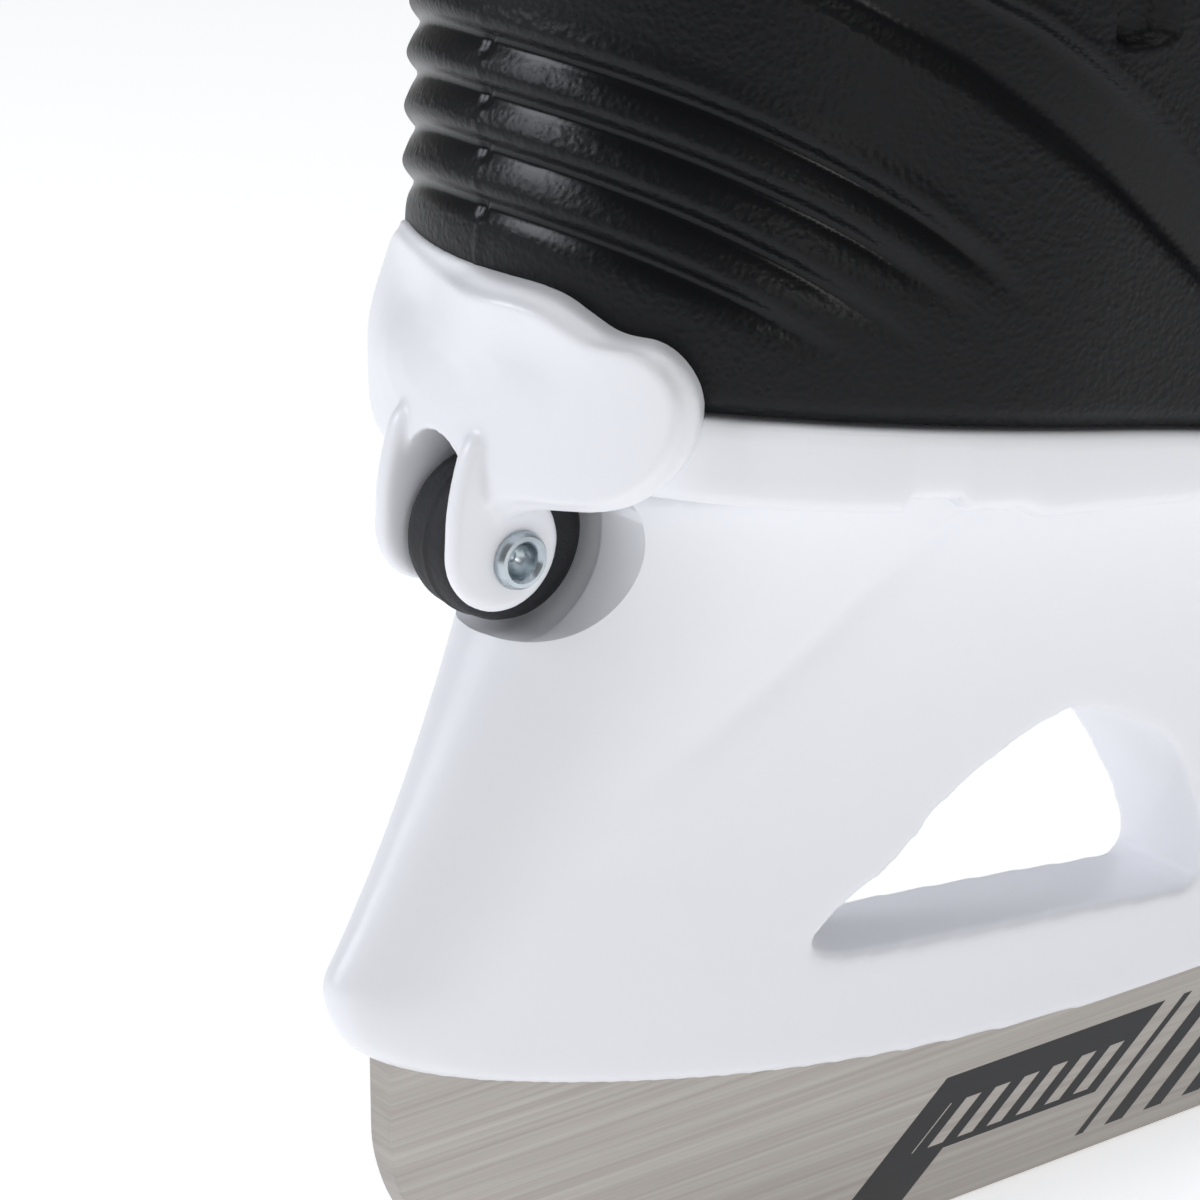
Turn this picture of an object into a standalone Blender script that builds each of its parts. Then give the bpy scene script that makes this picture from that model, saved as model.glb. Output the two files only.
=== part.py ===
"""Hard-shell recreational ice skate, right foot: a buckled boot on a moulded holder with a steel runner.

Metres, +Z up, +X towards the toe, -Y the outer side of the foot. Z = 0 is the running edge.
The boot is drawn on one last, a surface measured by s, round the foot from the heel, and v, up the
wall: v = 0 is the sole edge, v = 1 the ankle and v = 2 the top of the shaft. Every shell, pad and
strap of the boot is a patch of that last, moved out or in along its normal.
"""

import math

import bmesh
import bpy
import numpy as np
from mathutils import Matrix, Vector

# Driving dimensions
HEEL_X = -0.138  # back of the boot, and the roller's rivet, in the skate's own frame
BOOT_LENGTH = 0.292
HEEL_HALF_WIDTH = 0.034
HEEL_ROUND = 0.038  # how far forward the round of the heel reaches
BALL_HALF_WIDTH = 0.0465
BALL_X = 0.205
SEAM_HEEL_Z = 0.0917  # underside of the shell at the heel, above the ice
PITCH_DROP = 0.023  # how much lower the sole lies under the ball of the foot
PITCH_LENGTH = 0.150
GAP = 0.0003  # between neighbours that touch
SEAM_GAP = 0.0006  # between the sole plate and the shell, whose curved floors are faceted
HOLDER_GAP = 0.0011  # under the sole plate, whose underside is made of larger facets

SHELL_WALL = 0.0028
CUFF_WALL = 0.0027
CUFF_STAND_OFF = 0.0013
LINER_STAND_OFF = 0.0056
LINER_WALL = 0.005
COLLAR_Z = 0.165
COLLAR_STEP = 0.009
THROAT_X = 0.205  # front end of the throat
THROAT_BACK = 0.090  # behind this the collar runs round the ankle
THROAT_HALF_WIDTH = 0.022
PIVOT = (0.062, 0.160)  # cuff pivot, heel x and height
PLATE_HEEL = 0.0082
PLATE_TOE = 0.0058
FLOOR_WALL = 0.003

RIVET_Z = 0.077
ROLLER_CENTRE = (0.0019, 0.0773)
ROLLER_RADIUS = 0.0066
ROLLER_HALF_WIDTH = 0.0032
EAR_IN = 0.0040
EAR_OUT = 0.0060
EAR_CENTRE = (-0.0012, 0.0779)
EAR_RADIUS = 0.0053
POCKET_CENTRE = (0.0012, 0.0782)
POCKET_RADIUS = 0.0081

BLADE_THICK = 0.0030
RAIL_Z = 0.017
RAIL_RISE = 0.017
TANG_DEPTH = 0.008
BOLT_SPOTS = ((0.024, -0.0085), (0.024, 0.0085), (0.207, -0.0062), (0.207, 0.0062))

BUCKLE_LENGTH = 0.044
STRAP_WIDTH = 0.023
STRAP_THICK = 0.0022
BASE_LIFT = 0.0016  # from the wall to the underside of a buckle's base plate
OVER_TONGUE = 0.0052  # underside of a strap above the last, where it crosses the tongue


# Smooth steps and tables

def smooth(t):
    """Zero below 0, one above 1, with level ends."""
    t = np.clip(t, 0.0, 1.0)
    return t * t * (3.0 - 2.0 * t)


def sole_table(count=400):
    """Distance round one half of the sole edge from heel to toe, with x and half-width along it."""
    turn = np.linspace(0.0, math.pi / 2, count)
    heel_x = HEEL_ROUND * (1.0 - np.cos(turn))
    heel_w = HEEL_HALF_WIDTH * np.sin(turn)
    side_x = np.linspace(HEEL_ROUND, BALL_X, count)[1:-1]
    waist = HEEL_HALF_WIDTH - 0.0012 * smooth((side_x - 0.060) / 0.045)
    side_w = waist + (BALL_HALF_WIDTH - waist) * smooth((side_x - 0.100) / 0.105)
    power = 0.86
    toe_x = BALL_X + (BOOT_LENGTH - BALL_X) * np.sin(turn) ** power
    toe_w = BALL_HALF_WIDTH * np.cos(turn) ** power
    x = np.concatenate([heel_x, side_x, toe_x])
    w = np.concatenate([heel_w, side_w, toe_w])
    run = np.concatenate([[0.0], np.cumsum(np.hypot(np.diff(x), np.diff(w)))])
    return run / run[-1], x, w


RUN, EDGE_X, EDGE_W = sole_table()


def seam_z(x):
    """Height of the shell's underside at heel distance x: a heel seat, a slope and a level forefoot."""
    toe_spring = 0.003 * smooth((x - 0.230) / 0.070)
    return SEAM_HEEL_Z - PITCH_DROP * smooth(x / PITCH_LENGTH) + toe_spring


def plate_thick(x):
    return PLATE_HEEL + (PLATE_TOE - PLATE_HEEL) * smooth((x - 0.010) / 0.050)


def plate_z(x):
    """Height of the sole plate's underside."""
    return seam_z(x) - plate_thick(x)


def swing(x):
    """How far the centre line of the foot bends to the inner side."""
    return 0.004 * smooth((x - 0.120) / 0.160)


# The last

def shaft_turn(s):
    """Share of a turn round the shaft that belongs to share s of the sole edge."""
    q = np.abs(1.0 - 2.0 * np.minimum(s, 1.0 - s))
    half = 0.5 * (1.0 - (0.88 * q**2.5 + 0.12 * q))
    return np.where(s <= 0.5, half, 1.0 - half)


TURN_S = np.linspace(0.0, 1.0, 2001)
TURN_F = shaft_turn(TURN_S)


def share_at(f):
    """Share of the sole edge whose line climbs to share f of a turn round the shaft."""
    return np.interp(f, TURN_F, TURN_S)


def last_point(s, v):
    """Point of the last: two cubic stretches, sole edge to ankle and ankle to the top of the shaft."""
    s = np.asarray(s, float) % 1.0
    v = np.asarray(v, float)
    s, v = np.broadcast_arrays(s, v)
    side = np.where(s <= 0.5, -1.0, 1.0)
    near = np.minimum(s, 1.0 - s) * 2.0
    x0 = np.interp(near, RUN, EDGE_X)
    w0 = np.interp(near, RUN, EDGE_W)
    turn = 2.0 * math.pi * shaft_turn(s)
    front = (1.0 - np.cos(turn)) / 2.0
    toe = smooth(near)
    zero = np.zeros_like(x0)
    sole = np.stack([x0, side * w0 + swing(x0), seam_z(x0)], -1)
    ankle = np.stack([0.068 - 0.064 * np.cos(turn), -0.038 * np.sin(turn), 0.168 - 0.004 * front], -1)
    top = np.stack([0.064 - 0.054 * np.cos(turn), -0.044 * np.sin(turn), 0.302 + 0.012 * np.cos(turn)], -1)
    rise = 0.075 + 0.105 * toe
    bulge = side * np.abs(np.sin(math.pi * near)) * 0.10
    start = np.stack([zero, bulge * rise, rise], -1)
    lean = np.stack([0.03 - 0.56 * front**2, zero, 1.0 - 0.16 * front**2], -1)
    arrive = lean * (0.075 + 0.085 * toe)[..., None]
    leave = lean * (0.140 - 0.035 * front)[..., None]
    end = np.stack([zero, -0.020 * np.sin(turn), 0.135 + zero], -1)
    low = hermite(sole, start, ankle, arrive, v)
    high = hermite(ankle, leave, top, end, v - 1.0)
    past = top + end * (v - 2.0)[..., None]
    point = np.where((v <= 1.0)[..., None], low, high)
    return np.where((v > 2.0)[..., None], past, point)


def hermite(p0, m0, p1, m1, t):
    """Cubic from p0 with slope m0 to p1 with slope m1."""
    t = t[..., None]
    return (
        (2 * t**3 - 3 * t**2 + 1) * p0
        + (t**3 - 2 * t**2 + t) * m0
        + (3 * t**2 - 2 * t**3) * p1
        + (t**3 - t**2) * m1
    )


def last_normal(s, v):
    """Outward unit normal of the last, from central differences."""
    ds, dv = 0.002, 0.01
    v = np.asarray(v, float)
    low = np.maximum(v - dv, 0.0)
    along = last_point(s + ds, v) - last_point(s - ds, v)
    up = last_point(s, v + dv) - last_point(s, low)
    normal = np.cross(along, up)
    return normal / np.linalg.norm(normal, axis=-1, keepdims=True)


def off_last(s, v, out):
    """Point at distance out from the last."""
    return last_point(s, v) + last_normal(s, v) * np.asarray(out)[..., None]


def climb_to(s, stop, v_from=0.0, v_to=2.6, count=521):
    """The first v on line s where stop(point) turns positive, read between samples."""
    v = np.linspace(v_from, v_to, count)
    value = stop(last_point(s[:, None], v[None, :]))
    past = value > 0.0
    past[:, -1] = True
    i = np.maximum(np.argmax(past, axis=1), 1)
    rows = np.arange(len(s))
    a, b = value[rows, i - 1], value[rows, i]
    share = np.clip(-a / np.where(b - a == 0.0, 1.0, b - a), 0.0, 1.0)
    return v[i - 1] + share * (v[i] - v[i - 1])


# Meshes, materials and collections

def clear_scene():
    for obj in list(bpy.data.objects):
        bpy.data.objects.remove(obj, do_unlink=True)


def make_collection(name):
    collection = bpy.data.collections.new(name)
    bpy.context.scene.collection.children.link(collection)
    return collection


def material(name, colour, rough, metal=0.0):
    made = bpy.data.materials.new(name)
    made.use_nodes = True
    shader = made.node_tree.nodes["Principled BSDF"]
    shader.inputs["Base Color"].default_value = (*colour, 1.0)
    shader.inputs["Roughness"].default_value = rough
    shader.inputs["Metallic"].default_value = metal
    return made


def grid_faces(rows, cols, closed=False):
    """Quads of a grid whose rows follow each other outwards of (next column, next row)."""
    r, c = np.meshgrid(np.arange(rows - 1), np.arange(cols if closed else cols - 1), indexing="ij")
    n = (c + 1) % cols
    return np.stack([r * cols + c, r * cols + n, (r + 1) * cols + n, (r + 1) * cols + c], -1).reshape(-1, 4)


def place(points):
    """Heel distances into the skate's frame."""
    return np.asarray(points, float).reshape(-1, 3) + np.array([HEEL_X, 0.0, 0.0])


def new_object(name, points, faces, look, collection=None, sharp=0.7):
    mesh = bpy.data.meshes.new(name)
    mesh.from_pydata([tuple(p) for p in points], [], [tuple(int(i) for i in f) for f in faces])
    mesh.materials.append(look)
    mesh.shade_smooth()
    mesh.set_sharp_from_angle(angle=sharp)
    obj = bpy.data.objects.new(name, mesh)
    (collection or SKATE).objects.link(obj)
    return obj


def from_bmesh(name, bm, look, collection=None, sharp=0.7):
    mesh = bpy.data.meshes.new(name)
    bmesh.ops.recalc_face_normals(bm, faces=bm.faces)
    bm.to_mesh(mesh)
    bm.free()
    mesh.materials.append(look)
    mesh.shade_smooth()
    mesh.set_sharp_from_angle(angle=sharp)
    obj = bpy.data.objects.new(name, mesh)
    (collection or SKATE).objects.link(obj)
    return obj


def solidify(obj, thick):
    """Adds the wall on the inner side of an open surface."""
    wall = obj.modifiers.new("wall", "SOLIDIFY")
    wall.thickness = thick
    wall.offset = -1.0
    wall.use_even_offset = True


def cut(obj, cutter, operation="DIFFERENCE"):
    boolean = obj.modifiers.new(cutter.name, "BOOLEAN")
    boolean.operation = operation
    boolean.object = cutter
    hide(cutter)


def hide(obj):
    for collection in list(obj.users_collection):
        collection.objects.unlink(obj)
    CUTTERS.objects.link(obj)
    obj.hide_render = True
    obj.display_type = "WIRE"


def lathe(name, profile, look, steps, frame, collection=None):
    """Turned piece: (radius, height) pairs down the outer side, about the local Z axis of frame."""
    mesh = bpy.data.meshes.new(name)
    points = [(radius, 0.0, height) for radius, height in profile]
    mesh.from_pydata(points, [(i, i + 1) for i in range(len(points) - 1)], [])
    mesh.materials.append(look)
    obj = bpy.data.objects.new(name, mesh)
    (collection or SKATE).objects.link(obj)
    obj.matrix_world = frame
    screw = obj.modifiers.new("turn", "SCREW")
    screw.steps = steps
    screw.render_steps = steps
    screw.use_merge_vertices = True
    screw.merge_threshold = 0.00005
    screw.use_smooth_shade = True
    return obj


def extrude_outline(name, outline, half, look, frame, collection=None, bevel=0.0):
    """Flat outline in the local XY plane, extruded by half its thickness to each side of it."""
    curve = bpy.data.curves.new(name, "CURVE")
    curve.dimensions = "2D"
    curve.fill_mode = "BOTH"
    spline = curve.splines.new("POLY")
    spline.points.add(len(outline) - 1)
    for point, (x, y) in zip(spline.points, outline):
        point.co = (x, y, 0.0, 1.0)
    spline.use_cyclic_u = True
    curve.extrude = half
    helper = bpy.data.objects.new(name + "_outline", curve)
    bpy.context.scene.collection.objects.link(helper)
    graph = bpy.context.evaluated_depsgraph_get()
    mesh = bpy.data.meshes.new_from_object(helper.evaluated_get(graph))
    bpy.data.objects.remove(helper, do_unlink=True)
    bm = bmesh.new()
    bm.from_mesh(mesh)
    bpy.data.meshes.remove(mesh)
    bmesh.ops.remove_doubles(bm, verts=bm.verts, dist=0.00001)
    obj = from_bmesh(name, bm, look, collection)
    obj.matrix_world = frame
    if bevel:
        edge = obj.modifiers.new("edge", "BEVEL")
        edge.width = bevel
        edge.segments = 1
        edge.limit_method = "ANGLE"
    return obj


def rod(name, radius, half, look, frame, sides=20, collection=None):
    """Cylinder on the local Z axis."""
    bm = bmesh.new()
    bmesh.ops.create_cone(
        bm, cap_ends=True, segments=sides, radius1=radius, radius2=radius, depth=2.0 * half
    )
    obj = from_bmesh(name, bm, look, collection)
    obj.matrix_world = frame
    return obj


def axes(origin, x_axis, z_axis):
    """Matrix with the given local X and Z directions."""
    z = Vector(z_axis).normalized()
    x = Vector(x_axis)
    x = (x - z * x.dot(z)).normalized()
    y = z.cross(x)
    turn = Matrix((x, y, z)).transposed().to_4x4()
    return Matrix.Translation(Vector(origin)) @ turn


def across(x, z, y=0.0):
    """Frame whose Z lies along +Y of the skate and whose X lies along +X, at heel distance x."""
    return axes((x + HEEL_X, y, z), (1.0, 0.0, 0.0), (0.0, 1.0, 0.0))


clear_scene()
SKATE = make_collection("ice_skate")
CUTTERS = make_collection("cutters")
WHITE = material("white_moulding", (0.86, 0.86, 0.89), 0.35)
BLACK = material("black_moulding", (0.012, 0.013, 0.016), 0.5)
STEEL = material("brushed_steel", (0.62, 0.60, 0.57), 0.35, 1.0)
ZINC = material("zinc_plate", (0.72, 0.75, 0.77), 0.25, 1.0)
RUBBER = material("black_rubber", (0.02, 0.02, 0.022), 0.8)
FABRIC = material("lining_fabric", (0.05, 0.05, 0.055), 0.95)
GREY = material("grey_moulding", (0.18, 0.18, 0.19), 0.45)
BRASS = material("brass_insert", (0.70, 0.52, 0.25), 0.35, 1.0)


# Blade holder: one moulding, drawn as its side outline with a half thickness at each point

def rail_z(x):
    """Lower edge of the holder, which turns up at both ends."""
    back = np.clip((0.082 - x) / 0.095, 0.0, None) ** 2.2
    fore = np.clip((x - 0.186) / 0.095, 0.0, None) ** 2.2
    return RAIL_Z + RAIL_RISE * (back + fore)


def holder_back(v):
    """Heel distance of the holder's rear edge at share v of its height: a round tail, then a lean."""
    lean = -0.0157 + 0.021 * np.clip((v - 0.13) / 0.87, 0.0, None) ** 0.95
    tail = 0.0045 * (1.0 - np.sqrt(np.clip(1.0 - ((0.13 - v) / 0.13).clip(0.0, 1.0) ** 2, 0.0, 1.0)))
    return lean + tail


def holder_front(v):
    """Heel distance of the holder's front edge: the nose of the rail, then the tower leaning back."""
    nose = 0.0060 * (1.0 - np.sqrt(np.clip(1.0 - ((0.16 - v) / 0.16).clip(0.0, 1.0) ** 2, 0.0, 1.0)))
    return 0.2830 - nose - 0.022 * np.clip((v - 0.16) / 0.84, 0.0, None) ** 1.1


def holder_half(x, z, low, high):
    """Half thickness: thin at the rail, swelling with height and flaring under the sole plate."""
    up = z - low
    swell = 0.0044 + 0.13 * np.clip(up, 0.0, 0.020) + 0.16 * np.clip(up - 0.020, 0.0, None)
    swell = swell + 2.2 * np.clip(up - 0.020, 0.0, None) ** 2
    return swell + 0.004 * np.exp((z - high) / 0.005)


def make_holder():
    cols, rows = 38, 9
    u = (1.0 - np.cos(np.linspace(0.0, math.pi, cols))) / 2.0
    u = 0.55 * u + 0.45 * np.linspace(0.0, 1.0, cols)
    v = np.linspace(0.0, 1.0, rows)
    grid_v, grid_u = np.meshgrid(v, u, indexing="ij")
    back, front = holder_back(grid_v), holder_front(grid_v)
    x = back + grid_u * (front - back)
    low, high = rail_z(x), plate_z(x) - HOLDER_GAP
    z = low + grid_v * (high - low)
    round_nose = 0.010 + 0.004 * grid_v
    from_end = np.minimum(x - back, front - x) / round_nose
    ends = np.sqrt(np.clip(1.0 - (1.0 - np.clip(from_end, 0.0, 1.0)) ** 2, 0.0, 1.0))
    half = holder_half(x, z, low, high) * ends
    near = np.stack([x, -half, z], -1)[:, 1:-1]
    far = np.stack([x, half, z], -1)[:, 1:-1][:, ::-1]
    tail = np.stack([x, half, z], -1)[:, :1]
    nose = np.stack([x, half, z], -1)[:, -1:]
    ring = np.concatenate([tail, near, nose, far], axis=1)
    count = ring.shape[1]
    faces = [list(f) for f in grid_faces(rows, count, closed=True)]
    inner = cols - 2
    for row, flip in ((0, True), (rows - 1, False)):
        base = row * count
        for i in range(inner - 1):
            a, b = base + 1 + i, base + 2 + i
            c, d = base + count - 2 - i, base + count - 1 - i
            faces.append([d, c, b, a] if flip else [a, b, c, d])
        first = [base, base + 1, base + count - 1]
        last = [base + inner + 1, base + inner + 2, base + inner]
        faces += [first[::-1], last[::-1]] if flip else [first, last]
    holder = new_object("blade_holder", place(ring), faces, WHITE)
    for name, outline in window_outlines().items():
        cut(holder, extrude_outline(name, outline, 0.040, WHITE, across_plane(), CUTTERS))
    pocket = rod("roller_pocket", POCKET_RADIUS, 0.040, WHITE, across(*POCKET_CENTRE), 32, CUTTERS)
    cut(holder, pocket)
    slot = extrude_outline("blade_slot", slot_outline(), BLADE_THICK / 2 + GAP, WHITE, across_plane(), CUTTERS)
    cut(holder, slot)
    for i, (x, y) in enumerate(BOLT_SPOTS):
        seat = bolt_frame(x, y, -plate_thick(x) - 0.0042)
        cut(holder, rod(f"insert_seat_{i}", 0.0040 + GAP, 0.0054, WHITE, seat, 12, CUTTERS))


def across_plane():
    """Frame of the side view: X forward, Y up, Z towards the outer side."""
    return axes((HEEL_X, 0.0, 0.0), (1.0, 0.0, 0.0), (0.0, -1.0, 0.0))


def rounded(corners, radius, steps=4):
    """Closed outline through corners, each turned by an arc that is tangent to both sides."""
    outline = []
    for i, corner in enumerate(corners):
        here = Vector(corner)
        back = (Vector(corners[i - 1]) - here).normalized()
        ahead = (Vector(corners[(i + 1) % len(corners)]) - here).normalized()
        half = back.angle(ahead) / 2.0
        reach = radius / math.tan(half)
        start, end = here + back * reach, here + ahead * reach
        centre = here + (back + ahead).normalized() * (radius / math.sin(half))
        for k in range(steps + 1):
            share = k / steps
            mid = start.lerp(end, share) - centre
            outline.append(tuple(centre + mid.normalized() * radius))
    return outline


def window_outlines():
    """Rear triangle, two middle panes and the front triangle of the holder."""
    return {
        "window_rear": rounded([(0.0300, 0.0330), (0.0810, 0.0262), (0.0745, 0.0485), (0.0600, 0.0535)], 0.0030),
        "window_middle": rounded([(0.0945, 0.0262), (0.1725, 0.0262), (0.1625, 0.0500), (0.1045, 0.0500)], 0.0050),
        "window_front": rounded([(0.1880, 0.0262), (0.2370, 0.0290), (0.1960, 0.0500), (0.1860, 0.0480)], 0.0035),
    }


def blade_end_x(back):
    return -0.0104 if back else 0.2760


def slot_outline():
    """The tang's seat: up to TANG_DEPTH above the rail's lower edge, and open below it."""
    x = np.linspace(blade_end_x(True) - GAP, blade_end_x(False) + GAP, 24)
    top = rail_z(x) + TANG_DEPTH + GAP
    lower = [(x[-1], RAIL_Z - 0.012), (x[0], RAIL_Z - 0.012)]
    return [(a, b) for a, b in zip(x, top)] + lower


def make_blade():
    """Runner: a straight running edge, round at the heel and swept up at the toe."""
    x = np.linspace(blade_end_x(True), blade_end_x(False), 24)
    top = [(a, b) for a, b in zip(x, rail_z(x) + TANG_DEPTH)]
    turn = np.linspace(0.0, math.pi / 2, 9)
    fore = [(0.2160 + 0.060 * math.cos(t), 0.0270 - 0.0270 * math.sin(t)) for t in turn]
    back = [(0.0356 - 0.046 * math.sin(t), 0.0260 - 0.0260 * math.cos(t)) for t in turn]
    outline = top + fore + back
    extrude_outline("blade", outline, BLADE_THICK / 2, STEEL, across_plane())


# Sole plate and lower shell share the sole's plan, so their facing floors are the same facets

SOLE_CENTRE_X = 0.140
SOLE_COLS = 40
SHARES = np.array([0.0, 0.14, 0.32, 0.52, 0.72, 0.88])


def sole_rings(height, inset=0.0, cols=SOLE_COLS):
    """Rings from near the middle of the sole out to its edge, on the surface height(x)."""
    s = np.arange(cols) / cols
    edge = off_last(s, 0.0, -inset)
    rings = []
    for share in [*SHARES[1:], 1.0]:
        x = SOLE_CENTRE_X + (edge[:, 0] - SOLE_CENTRE_X) * share
        y = edge[:, 1] * share
        rings.append(np.stack([x, y, height(x)], -1))
    middle = np.array([[SOLE_CENTRE_X, 0.0, float(height(SOLE_CENTRE_X))]])
    return middle, np.array(rings)


def fan(middle, ring_start, cols, flip):
    faces = []
    for i in range(cols):
        a, b = ring_start + i, ring_start + (i + 1) % cols
        faces.append([middle, b, a] if flip else [middle, a, b])
    return faces


def make_sole_plate():
    lower_mid, lower = sole_rings(plate_z, inset=0.0016)
    upper_mid, upper = sole_rings(lambda x: seam_z(x) - SEAM_GAP)
    bulge = (lower[-1:] * 0.35 + upper[-1:] * 0.65) + (upper[-1:] - lower[-1:]) * [[[1.0, 1.0, 0.0]]] * 0.3
    count = SOLE_COLS
    points = np.concatenate(
        [lower_mid, lower.reshape(-1, 3), bulge.reshape(-1, 3), upper[::-1].reshape(-1, 3), upper_mid]
    )
    rings = 2 * len(SHARES) + 1
    faces = fan(0, 1, count, True)
    faces += [list(q) for q in grid_faces(rings, count, closed=True) + 1]
    top = 1 + (rings - 1) * count
    faces += fan(len(points) - 1, top, count, False)
    plate = new_object("sole_plate", place(points), faces, WHITE)
    recess = rod("roller_recess", 0.0078, 0.0046, WHITE, across(*ROLLER_CENTRE), 24, CUTTERS)
    cut(plate, recess)
    for i, (x, y) in enumerate(BOLT_SPOTS):
        cut(plate, rod(f"plate_bore_{i}", 0.0029, 0.012, WHITE, bolt_frame(x, y, -0.004), 16, CUTTERS))


def collar_level(x):
    """Height of the shell's collar: lower behind the heel, so that the cuff can lean forward."""
    return COLLAR_Z + COLLAR_STEP * smooth((x - 0.010) / 0.030)


def shell_stop(point):
    """Positive past the collar, or inside the throat over the instep."""
    x, y, z = point[..., 0], point[..., 1] - swing(point[..., 0]), point[..., 2]
    above = z - collar_level(x)
    inside = np.minimum(np.minimum(THROAT_X - x, x - THROAT_BACK), THROAT_HALF_WIDTH - np.abs(y))
    high = z - seam_z(x) - 0.030
    return np.maximum(above, np.minimum(inside, high))


def liner_stop(point):
    """Positive past the padded collar of the inner boot, which stands highest at the back."""
    return point[..., 2] - 0.306 + 0.10 * (point[..., 0] - 0.064)


def boot_cup(name, out, floor_rise, stop, rows, cols, look, wall):
    """Open cup on the last: a floor and a wall up to stop, given its thickness inwards."""
    s = np.arange(cols) / cols
    reach = climb_to(s, stop)
    middle, rings = sole_rings(lambda x: seam_z(x) + floor_rise, inset=max(-out, 0.0), cols=cols)
    base = np.clip(floor_rise / 0.077, 0.0, 1.0) + 0.03 * (floor_rise > 0.0)
    t = np.linspace(0.0, 1.0, rows)[1:, None]
    v = base + t * (reach[None, :] - base)
    sides = off_last(np.broadcast_to(s, v.shape), v, np.full(v.shape, out))
    points = np.concatenate([middle, rings.reshape(-1, 3), sides.reshape(-1, 3)])
    total = len(rings) + len(sides)
    faces = fan(0, 1, cols, True) + [list(q) for q in grid_faces(total, cols, closed=True) + 1]
    obj = new_object(name, place(points), faces, look)
    solidify(obj, wall)
    return obj


def bolt_frame(x, y, rise):
    """Frame on the sole at heel distance x, Z along the floor's normal, rise above the shell's underside."""
    step = 0.001
    slope = float(seam_z(x + step) - seam_z(x - step)) / (2 * step)
    up = Vector((-slope, 0.0, 1.0)).normalized()
    origin = Vector((x + HEEL_X, y, float(seam_z(x)))) + up * rise
    return axes(origin, (1.0, 0.0, 0.0), up)


def make_bolts():
    """Machine screws through the shell's floor and the plate into brass inserts in the holder."""
    names = ("heel_outer", "heel_inner", "toe_outer", "toe_inner")
    head = [(0.0, 0.0022), (0.0030, 0.0021), (0.0046, 0.0012), (0.0048, 0.0)]
    shank = [(0.0024, 0.0), (0.0024, -0.0160), (0.0, -0.0160)]
    sleeve = [(0.0028, 0.0), (0.0040, 0.0), (0.0040, -0.0075), (0.0028, -0.0075), (0.0028, 0.0)]
    for name, (x, y) in zip(names, BOLT_SPOTS):
        lathe(f"holder_bolt_{name}", head + shank, ZINC, 12, bolt_frame(x, y, FLOOR_WALL + 2 * GAP))
        lathe(f"holder_insert_{name}", sleeve, BRASS, 12, bolt_frame(x, y, -plate_thick(x) - 0.0013))


def make_lower_shell():
    shell = boot_cup("lower_shell", 0.0, 0.0, shell_stop, 9, SOLE_COLS, BLACK, SHELL_WALL)
    for i, (x, y) in enumerate(BOLT_SPOTS):
        cut(shell, rod(f"floor_bore_{i}", 0.0029, 0.008, BLACK, bolt_frame(x, y, 0.0), 16, CUTTERS))
    return shell


def make_liner():
    boot_cup("liner", -LINER_STAND_OFF, 0.0062, liner_stop, 15, 32, FABRIC, LINER_WALL)


def make_insole():
    """Footbed: a flat pad that follows the liner's floor."""
    rise = 0.0062 + LINER_WALL + 0.0016
    inset = LINER_STAND_OFF + LINER_WALL + 0.0016
    lower_mid, lower = sole_rings(lambda x: seam_z(x) + rise, inset, 32)
    upper_mid, upper = sole_rings(lambda x: seam_z(x) + rise + 0.0035, inset, 32)
    lower = shrink(lower)
    upper = shrink(upper)
    points = np.concatenate([lower_mid, lower.reshape(-1, 3), upper[::-1].reshape(-1, 3), upper_mid])
    rings = len(lower) * 2
    faces = fan(0, 1, 32, True) + [list(q) for q in grid_faces(rings, 32, closed=True) + 1]
    faces += fan(len(points) - 1, 1 + (rings - 1) * 32, 32, False)
    new_object("insole", place(points), faces, GREY)


def shrink(rings):
    """Draws the footbed in a little from the liner's rounded floor corner."""
    middle = np.array([SOLE_CENTRE_X, 0.0, 0.0])
    flat = np.array([0.915, 0.93, 1.0])
    return (rings - middle) * flat + middle


# Cuff, its pivots and the soft pieces of the shaft

CUFF_OPEN = 0.405  # share of a turn from the heel to the front edge of the cuff


def cuff_low(f):
    """Lower edge of the cuff by share of a turn from the heel: high in front, low over the pivot."""
    front = smooth((np.abs(f) - 0.20) / 0.20)
    return 0.142 + 0.052 * front


def cuff_high(f):
    return 0.2860 - 0.016 * smooth(np.abs(f) / CUFF_OPEN) + 0.006 * np.exp(-(f / 0.09) ** 2)


def level_v(s, height):
    """The v at which line s reaches the given height."""
    heights = np.asarray(height)
    v = np.linspace(0.3, 2.6, 461)
    z = last_point(s[:, None], v[None, :])[..., 2] - heights[:, None]
    i = np.argmax(z > 0.0, axis=1)
    rows = np.arange(len(s))
    return v[i - 1] + (v[i] - v[i - 1]) * (-z[rows, i - 1] / (z[rows, i] - z[rows, i - 1]))


def make_cuff():
    cols, rows = 27, 7
    f = np.linspace(CUFF_OPEN, -CUFF_OPEN, cols)
    s = share_at(-f % 1.0)
    v0, v1 = level_v(s, cuff_low(f)), level_v(s, cuff_high(f))
    v = v0 + np.linspace(0.0, 1.0, rows)[:, None] * (v1 - v0)
    points = off_last(np.broadcast_to(s, v.shape), v, np.full(v.shape, CUFF_STAND_OFF + CUFF_WALL))
    cuff = new_object("cuff", place(points), grid_faces(rows, cols), BLACK)
    solidify(cuff, CUFF_WALL)
    return cuff


def on_last(side, x, z, out=0.0):
    """Spot of the last at heel distance x and height z: point, normal and the line's s, by search."""
    s = np.linspace(0.02, 0.49, 400)
    s = s if side < 0 else 1.0 - s
    v = level_v(s, np.full(s.shape, z))
    point = last_point(s, v)
    i = int(np.argmin(np.abs(point[:, 0] - x)))
    normal = last_normal(s[i], v[i])
    return point[i] + normal * out, normal


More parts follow.
